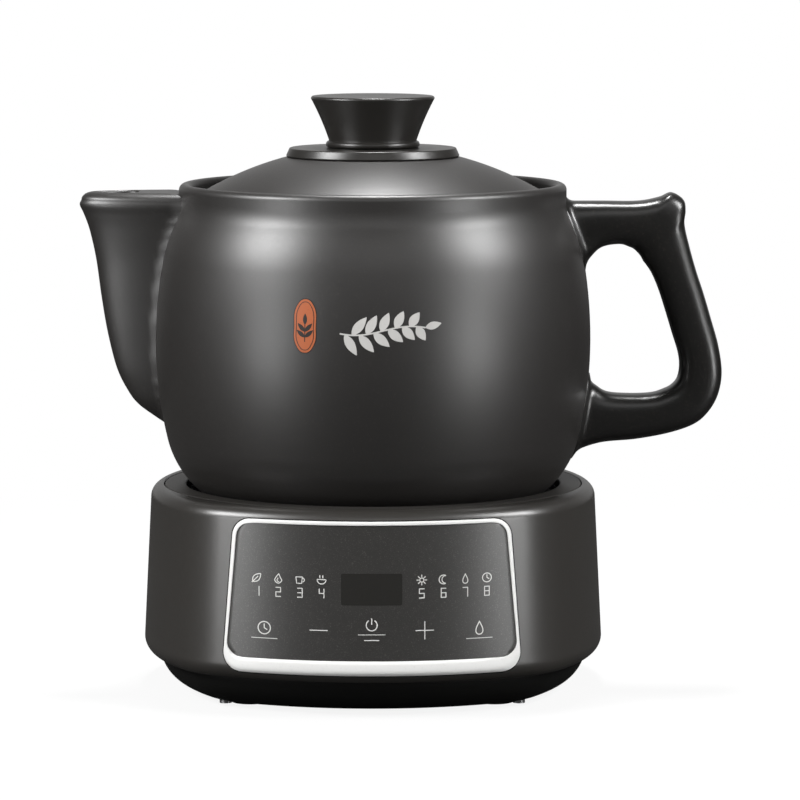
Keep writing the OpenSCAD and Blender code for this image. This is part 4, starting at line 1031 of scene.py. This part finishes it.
# %% Top ring
ring_out, RING_EDGE, RING_H, STEP_H, STEP_W = SEAM_R - 0.3, 0.9, 4.8, 4.2, 9
ring_profile = np.vstack([
    arc((ring_out - RING_EDGE, BASE_H - RING_EDGE), RING_EDGE, 90, 0, 8),
    [[ring_out, BASE_H - RING_H], [WELL_R + STEP_W, BASE_H - RING_H],
     [WELL_R + STEP_W, BASE_H - STEP_H], [WELL_R, BASE_H - STEP_H]],
    arc((WELL_R + RING_EDGE, BASE_H - RING_EDGE), RING_EDGE, 180, 90, 8)])
make_piece("well_ring", *revolve(ring_profile, 256), "base", ring_plastic, ["top_ring"], "top_ring", 40)

# %% Steel dish
DISH_T, PLATE_R, dish_in = 0.6, 75.0, WELL_R + 1
(_, _, dish_floor), (dish_r, _, dish_top) = box_mm("well_dish")
dish_profile = np.vstack([
    [[dish_r, dish_top], [dish_in + 1.2, dish_top]], arc((dish_in + 1.0, dish_top - 1.0), 1.0, 90, 180, 6),
    arc((dish_in - 2.4, dish_floor + 3.0), 2.4, 0, -90, 8),
    [[PLATE_R + DISH_T, dish_floor + DISH_T], [PLATE_R + DISH_T, dish_floor], [dish_in - 1.0, dish_floor],
     [dish_in + DISH_T, dish_floor + 2.4], [dish_in + DISH_T, dish_top - DISH_T],
     [dish_r, dish_top - DISH_T]]])
make_piece("dish", *revolve(dish_profile, 256), "base", dish_steel, ["well_dish"], "steel_dish", 40)

# %% Feet
FOOT_R, FOOT_RING, FOOT_TOP = 10.0, 82.0, box_mm("rubber_feet")[1][2]
foot_profile = np.vstack([[[0, 0.5], [4, 0.5], [5, 0]], arc((FOOT_R - 1.4, 1.2), 1.2, -90, 0, 8),
                          [[FOOT_R - 0.2, FOOT_TOP], [0, FOOT_TOP]]])
points, faces = revolve(foot_profile, 48)
feet = np.concatenate([points + [FOOT_RING * math.cos(a), FOOT_RING * math.sin(a), 0] for a in CORNERS])
feet_faces = [np.concatenate([f + k * len(points) for k in range(len(CORNERS))]) for f in faces]
make_piece("feet", feet, feet_faces, "base", foot_rubber, ["rubber_feet"], "rubber", 40)

# %% [markdown]
# ## The control panel
# A film with a dark metallic print is framed by a bright trim that is wide along the bottom. Both follow
# the curve of the front wall. A flat plate could be pushed onto it by a shrink-wrap, but the wall is
# known exactly. A point of the flat drawing (x, z) lands on the wall at that x and z, so one function
# bends everything on the panel.

# %% On the front wall
PANEL_LOW, PANEL_HIGH, PANEL_HALF, PANEL_DRAW, PANEL_CORNER = 21.2, 93.0, 70.0, 5.6, 8.7
TRIM_W, TRIM_LOW_W, PANEL_T, TRIM_PROUD = 1.9, 7.0, 0.6, 0.5


def wall_out(z):
    """How far out the skin lies at height z, read from its outline by straight steps."""
    outline = skin[::-1]
    return np.interp(z, outline[:, 1], outline[:, 0])


def on_front(xz, proud):
    """Bends a drawing onto the front wall: y = -(sqrt((side arc + skin + proud)^2 - x^2) - centre)."""
    x, z = xz[..., 0], xz[..., 1]
    r = SIDE_ARC + wall_out(z) + proud
    return np.stack([x, -(np.sqrt(r**2 - x**2) - SIDE_C), z], -1)


print("the middle of the wall: %.1f mm out" % -on_front(np.array([0.0, PANEL_LOW]), 0.0)[1])


# %% Loops on the panel
def panel_outline(edge, low):
    """The panel's outline, edge in from its sides and top, and low up from its bottom."""
    w0, w1 = PANEL_HALF - edge, PANEL_HALF - PANEL_DRAW - edge
    z0, z1 = PANEL_LOW + low, PANEL_HIGH - edge
    return rounded_loop([(-w0, z0), (w0, z0), (w1, z1), (-w1, z1)], [PANEL_CORNER - edge] * 4, 13)


def even(loop, count=320):
    """The loop at evenly spaced places along its length, which is the sum of its steps' lengths."""
    closed = np.vstack([loop, loop[:1]])
    steps = np.concatenate([[0], np.cumsum(np.linalg.norm(np.diff(closed, axis=0), axis=1))])
    at = np.linspace(0, steps[-1], count, endpoint=False)
    return np.column_stack([np.interp(at, steps, closed[:, k]) for k in (0, 1)])


def matched(outer_loop, inner_loop, count=320):
    """Two loops with points that face each other: each is read at the same angles round the middle."""
    middle = np.array([0.0, (PANEL_LOW + PANEL_HIGH) / 2])
    out = []
    for loop in (outer_loop, inner_loop):
        p = even(loop, 2400) - middle
        a = np.unwrap(np.arctan2(p[:, 1], p[:, 0]))
        order = np.argsort(a)
        want = a.min() + np.linspace(0, 2 * math.pi, count, endpoint=False)
        a, p = np.append(a[order], a[order][0] + 2 * math.pi), np.vstack([p[order], p[order][:1]])
        out.append(np.column_stack([np.interp(want, a, p[:, k]) for k in (0, 1)]) + middle)
    return out


print("panel: %.0f by %.0f mm" % (2 * PANEL_HALF, PANEL_HIGH - PANEL_LOW))


# %% Film
def disc_rings(loop, proud, base, bevel=0.25):
    """A plate inside a loop: its foot, a small bevel, then rings that shrink to the middle."""
    middle = loop.mean(0)
    rings = [on_front(loop, base), on_front(loop, proud - bevel)]
    toward = middle - loop
    toward /= np.linalg.norm(toward, axis=1)[:, None]
    rings.append(on_front(loop + toward * bevel, proud))
    for s in np.linspace(0, 1, 40)[1:-1]:
        rings.append(on_front((loop + toward * bevel) * (1 - s) + middle * s, proud))
    return np.array(rings)


outside, inside_loop = matched(panel_outline(0.0, 0.0), panel_outline(TRIM_W, TRIM_LOW_W))
make_piece("panel_film", *loft(disc_rings(inside_loop, PANEL_T, 0.02)), "base", panel_film,
           ["control_panel"], "control_panel", 40)


# %% Trim, and painted shade round it
def band_rings(outside, inside_loop, proud, base, steps=9):
    """A crowned band between two loops. Its height across, for s from 0 to 1, is sqrt(1 - |2 s - 1|^6)."""
    s = np.linspace(0, 1, steps)
    crown = np.sqrt(np.clip(1 - np.abs(2 * s - 1) ** 6, 0, 1))
    rings = [on_front(outside, base)]
    rings += [on_front(outside * (1 - k) + inside_loop * k, base + (proud - base) * max(0.35, c))
              for k, c in zip(s, crown)]
    rings.append(on_front(inside_loop, base))
    return np.array(rings)


make_piece("trim_band", *loft(band_rings(outside, inside_loop, PANEL_T + TRIM_PROUD, 0.02), close=True),
           "base", trim_silver, ["panel_trim"], "panel_trim", 40)
SEAM_W, SEAM_PROUD = 0.45, 0.16  # painted shade: the dark line round the trim, standing for the shaded gap to the housing
# The band round the trim is painted shade: a dark line where the gap between trim and housing is shaded.
seam_out, seam_in = matched(panel_outline(-SEAM_W, -SEAM_W), panel_outline(-0.02, -0.02))
make_piece("trim_seam_shade", *loft(band_rings(seam_out, seam_in, SEAM_PROUD, 0.01, 5), close=True), "base",
           seam_shade_finish, (), "bottom_shell", 40)

# %% Display window
DISPLAY_HALF, DISPLAY_H, DISPLAY_Z, DISPLAY_CORNER = 14.2, 14.8, 61.6, 0.8
w, low, high = DISPLAY_HALF, DISPLAY_Z - DISPLAY_H / 2, DISPLAY_Z + DISPLAY_H / 2
loop = rounded_loop([(-w, low), (w, low), (w, high), (-w, high)], [DISPLAY_CORNER] * 4, 7)
make_piece("window", *loft(disc_rings(even(loop, 160), PANEL_T + 0.03, 0.3, 0.02)), "base", window_film,
           ["display_window"], "display_window", 40)

# %% [markdown]
# ## Printed marks
# The panel's marks and the pot's decoration are screen prints. They could be an image on the surface, but
# lines this fine would blur in one. So each is a very thin raised shape, drawn flat and then bent onto
# its surface, and stays sharp from near by. A line is a band that follows a path, a filled shape
# shrinks to its middle in rings. The marks are generic: small icons over plain numbers, and a sprig.


# %% Bands and filled shapes
def band(path, width, bend, low, high):
    """A line of even width along a path: its two edges lie half the width to the left and to the right
    of the path, square to it, and each has a lower and an upper point."""
    path = np.asarray(path, float)
    along = np.gradient(path, axis=0)
    along /= np.linalg.norm(along, axis=1)[:, None]
    side = np.column_stack([-along[:, 1], along[:, 0]]) * width / 2
    path[0] -= along[0] * width / 3
    path[-1] += along[-1] * width / 3
    left, right = path + side, path - side
    return loft(np.stack([bend(left, low), bend(left, high), bend(right, high), bend(right, low)], 1))


def fill(outline, bend, low, high, rings=6):
    """A filled shape: its edge, then the same outline drawn in towards its middle."""
    outline = np.asarray(outline, float)
    middle = outline.mean(0)
    shrink = [bend(middle + (outline - middle) * s, high) for s in np.linspace(1, 0.04, rings)]
    return loft(np.array([bend(outline, low)] + shrink))


def joined(shapes):
    """Puts several (points, faces) pairs into one."""
    points, faces, first = [], [], 0
    for p, f in shapes:
        points.append(p)
        faces += [q + first for q in f]
        first += len(p)
    return np.vstack(points), faces


square = fill([(0, 40), (9, 40), (9, 49), (0, 49)], on_front, 0.0, 1.0)
print("a filled square:", sum(len(f) for f in square[1]), "faces")


# %% Lines and leaves
def line(*corners, step=0.5):
    """A path through corners with points every half millimetre, so that it can bend."""
    out = [np.array([corners[0]], float)]
    for a, b in zip(corners[:-1], corners[1:]):
        n = max(1, int(math.dist(a, b) / step))
        out.append(np.linspace(a, b, n + 1)[1:])
    return np.vstack(out)


def leaf(base, angle, length, width, count=18):
    """A leaf from its stalk end. At the share t of its length it is as wide as width times
    (sin pi t)^0.8 (1 - 0.35 t)."""
    t = np.linspace(0, 1, count)
    w = width / 2 * np.sin(np.pi * t) ** 0.8 * (1 - 0.35 * t)
    back = slice(-2, 0, -1)
    edge = np.vstack([np.column_stack([t * length, w]), np.column_stack([t[back] * length, -w[back]])])
    a = math.radians(angle)
    turn = np.array([[math.cos(a), math.sin(a)], [-math.sin(a), math.cos(a)]])
    return edge @ turn + base


print("a line of 10 mm:", len(line((0, 0), (10, 0))), "points")


# %% [markdown]
# The icons are drawn in a box from -1 to 1, as strokes of one width like a pen's. Each function gives
# the paths of one icon. The numbers are made of seven straight strokes, as on a digital display.

# %% Icons of food and fire
def icon_leaf():
    """A leaf's edge, with a straight line through its middle for the stalk."""
    edge = leaf((-0.8, -0.8), 45, 2.3, 1.5)
    return [np.vstack([edge, edge[:1]]), line((-0.95, -0.95), (0.25, 0.25), step=0.2)]


def icon_drop():
    """x = 0.72 sin t (sin t/2)^1.4 and z = 0.95 cos t, which is pointed at the top."""
    t = np.radians(np.linspace(0, 360, 30))
    return [np.column_stack([0.72 * np.sin(t) * np.sin(t / 2) ** 1.4, 0.95 * np.cos(t)])]


def icon_flame():
    """A smooth curve through points of the outline, and a short one inside it."""
    outside = through(np.array([[0.1, 1.0], [-0.5, 0.2], [-0.7, -0.4], [0, -0.95], [0.7, -0.4], [0.45, 0.2],
                                [0.1, 1.0]]), 30)
    return [outside, through(np.array([[-0.05, 0.1], [-0.25, -0.4], [0.1, -0.65]]), 8)]


def icon_cup():
    """Four straight sides that narrow downwards, and an arc for the handle."""
    return [line((-0.8, 0.5), (-0.65, -0.8), (0.35, -0.8), (0.5, 0.5), (-0.8, 0.5), step=0.3),
            arc((0.5, -0.1), 0.4, 75, -75, 10)]


def icon_bowl():
    """A half circle under a straight rim, with two lines of steam."""
    return [np.vstack([arc((0, 0.1), 0.9, 180, 360, 20), line((0.9, 0.1), (-0.9, 0.1), step=0.3)]),
            line((-0.35, 0.4), (-0.35, 0.9), step=0.2), line((0.25, 0.4), (0.25, 0.9), step=0.2)]


print("food and fire:", [len(icon()) for icon in (icon_leaf, icon_drop, icon_flame, icon_cup, icon_bowl)],
      "paths")


# %% Icons of time and power
def icon_clock():
    """A full circle and two hands."""
    return [arc((0, 0), 0.9, 90, 445, 30), line((0, 0.55), (0, 0), (0.4, -0.25), step=0.2)]


def icon_sun():
    """A circle and eight rays."""
    rays = [line((0.65 * math.cos(a), 0.65 * math.sin(a)), (math.cos(a), math.sin(a)), step=0.2)
            for a in np.radians(np.arange(0, 360, 45))]
    return [arc((0, 0), 0.42, 0, 355, 20)] + rays


def icon_moon():
    """A wide arc outside and a flatter one back inside it."""
    return [np.vstack([arc((0, 0), 0.9, 60, 300, 24), arc((0.45, 0), 0.78, 268, 92, 18),
                       arc((0, 0), 0.9, 60, 64, 2)])]


def icon_power():
    """A circle that is open at the top, and a line down through the opening."""
    return [arc((0, -0.05), 0.85, 125, 415, 26), line((0, 0.95), (0, 0.1), step=0.2)]


print("time and power:", [len(icon()) for icon in (icon_clock, icon_sun, icon_moon, icon_power)], "paths")

# %% Numbers
SEGMENTS = {"top": ((0, 2), (1, 2)), "left_top": ((0, 2), (0, 1)), "right_top": ((1, 2), (1, 1)),
            "middle": ((0, 1), (1, 1)), "left_low": ((0, 1), (0, 0)), "right_low": ((1, 1), (1, 0)),
            "low": ((0, 0), (1, 0))}
WITHOUT = {1: "top left_top middle left_low low", 2: "left_top right_low", 3: "left_top left_low",
           4: "top left_low low", 5: "right_top left_low", 6: "right_top",
           7: "left_top middle left_low low", 8: ""}


def number(value, centre, height):
    """The strokes of a number, height tall."""
    half = height / 2
    keep = [ends for name, ends in SEGMENTS.items() if name not in WITHOUT[value].split()]
    return [line(*[(centre[0] + (x - 0.5) * half * 1.05, centre[1] + (z - 1) * half) for x, z in ends])
            for ends in keep]


def drawn(paths, centre, half):
    """Moves an icon's paths from its own box to the panel: half times the path, plus the centre."""
    return [np.asarray(p) * half + centre for p in paths]


print("numbers:", [len(number(k, (0, 0), 1)) for k in range(1, 9)], "strokes")

# %% Program marks
LABEL_FIRST, LABEL_PITCH, LABEL_ICON_Z, LABEL_NUMBER_Z = 23.2, 10.1, 65.8, 59.6
LABEL_ICON, LABEL_NUMBER, LABEL_INK = 2.3, 4.2, 0.42  # half an icon, a number's height, a line's width
icons = [icon_leaf, icon_flame, icon_cup, icon_bowl, icon_sun, icon_moon, icon_drop, icon_clock]
right_places = [LABEL_FIRST + LABEL_PITCH * k for k in range(4)]
places = [-x for x in right_places[::-1]] + right_places
marks = []
for k, (icon, x) in enumerate(zip(icons, places)):
    marks += [(p, LABEL_INK) for p in drawn(icon(), (x, LABEL_ICON_Z), LABEL_ICON)]
    marks += [(p, LABEL_INK) for p in number(k + 1, (x, LABEL_NUMBER_Z), LABEL_NUMBER)]
print("program marks:", len(marks), "strokes")

# %% Key marks
KEY_Z, KEY_PITCH, MINUS_HALF = 42.2, 50.0, 4.1
KEY_INK, SIGN_INK, RULE_INK = 0.5, 0.4, 0.3


def level_line(x, half, z, ink):
    """A straight level stroke, half to each side of x."""
    return line((x - half, z), (x + half, z)), ink


for x, icon in ((-KEY_PITCH, icon_clock), (KEY_PITCH, icon_drop)):
    marks += [(p, KEY_INK) for p in drawn(icon(), (x, KEY_Z + 0.4), 3.2)]
    marks.append(level_line(x, 6, KEY_Z - 4.4, RULE_INK))
marks += [(p, KEY_INK) for p in drawn(icon_power(), (0, KEY_Z + 3), 3.0)]
marks += [level_line(0, 6.2, KEY_Z - 1.6, RULE_INK), level_line(0, 3.4, KEY_Z - 4.2, 0.45)]
side_x, sign_z = KEY_PITCH / 2 - 0.4, KEY_Z + 0.2
marks += [level_line(x, MINUS_HALF, sign_z, SIGN_INK) for x in (-side_x, side_x)]
marks.append((line((side_x, sign_z - MINUS_HALF), (side_x, sign_z + MINUS_HALF)), SIGN_INK))
strokes = [band(p, w, on_front, PANEL_T - 0.1, PANEL_T + 0.05) for p, w in marks]
make_piece("panel_marks", *joined(strokes), "base", mark_ink, (), "control_panel")


# %% [markdown]
# The pot's front carries a small orange-brown plate, printed with a leaf, and a pale sprig beside it.
# They are drawn flat and wrapped round the belly, so the strokes keep their width where the wall curves.
# Beside the belly's widest line the wall leans, and a straight push would stretch them there.

# %% Wrapping onto the pot
def on_pot(sz, proud):
    """Wraps a drawing round the pot's front. At s millimetres round it the angle is s over the belly's
    radius, and the point lies there at the pot's own radius plus proud."""
    s, z = sz[..., 0], sz[..., 1]
    a = s / BELLY_R
    radius = pot_radius(z) + proud
    return np.stack([radius * np.sin(a), -radius * np.cos(a), z], -1)


def oval(centre, half_w, half_h, count=60):
    """A squared oval with slightly pinched sides: x is half_w |cos a|^0.8 (1 - 0.09 cos^2(3.1 sin a))
    with the cosine's sign, and z is half_h |sin a|^0.92 with the sine's."""
    a = np.radians(np.arange(count) * 360 / count)
    c, s = np.cos(a), np.sin(a)
    x = half_w * np.sign(c) * np.abs(c) ** 0.8 * (1 - 0.09 * np.cos(3.1 * s) ** 2)
    return np.column_stack([x, half_h * np.sign(s) * np.abs(s) ** 0.92]) + centre


print("the middle of the front:", on_pot(np.array([0.0, BELLY[1]]), 0.0).round(1).tolist())

# %% Plate
PLATE_AT, PLATE_W, PLATE_H, BORDER = np.array([-31.4, 183.2]), 5.7, 12.3, 0.45
LEAF_L, LEAF_W = 5.2, 2.4
ring_path = oval(PLATE_AT, PLATE_W - 1.1, PLATE_H - 1.2)
plate_dark = [
    fill(oval(PLATE_AT, PLATE_W + BORDER, PLATE_H + BORDER), on_pot, -0.4, 0.06),
    band(np.vstack([ring_path, ring_path[:2]]), 0.32, on_pot, 0.0, 0.16),
    band(line(PLATE_AT - (0, 7.2), PLATE_AT + (0, 1.0)), 0.4, on_pot, 0.0, 0.16),
    *[fill(leaf(PLATE_AT + (0, z), angle, LEAF_L, LEAF_W), on_pot, 0.0, 0.16, 3)
      for z, angle in ((0.6, 90), (-2.6, 48), (-2.6, 132), (-5.2, 40), (-5.2, 140))],
]
make_piece("plate_border", *joined(plate_dark), "pot", print_dark, (), "stoneware")
make_piece("plate_fill", *fill(oval(PLATE_AT, PLATE_W, PLATE_H), on_pot, 0.0, 0.11), "pot",
           print_orange, (), "stoneware")

# %% Sprig
SPRIG_AT, SPRIG_HALF, STEM_W, LEAF_TURN = np.array([5.2, 181.6]), 23.0, 0.7, 52
t = np.linspace(-1, 1, 60)
stem = np.column_stack([SPRIG_HALF * t * 0.86, 2.0 * np.sin(2.4 * t) - 0.3]) + SPRIG_AT
sprig = [band(stem, STEM_W, on_pot, -0.1, 0.1)]
for k, at in enumerate(range(3, 57, 5)):
    dx, dz = stem[at + 1] - stem[at]
    lean = math.degrees(math.atan2(dz, dx)) + (LEAF_TURN if k % 2 else -LEAF_TURN)
    length = 11.2 - 0.35 * k  # shorter towards the tip
    sprig.append(fill(leaf(stem[at], lean, length, 5.2), on_pot, -0.1, 0.1))
sprig.append(fill(leaf(stem[-1], 14, 8.0, 4.2), on_pot, -0.1, 0.1))
make_piece("sprig", *joined(sprig), "pot", print_grey, (), "stoneware")
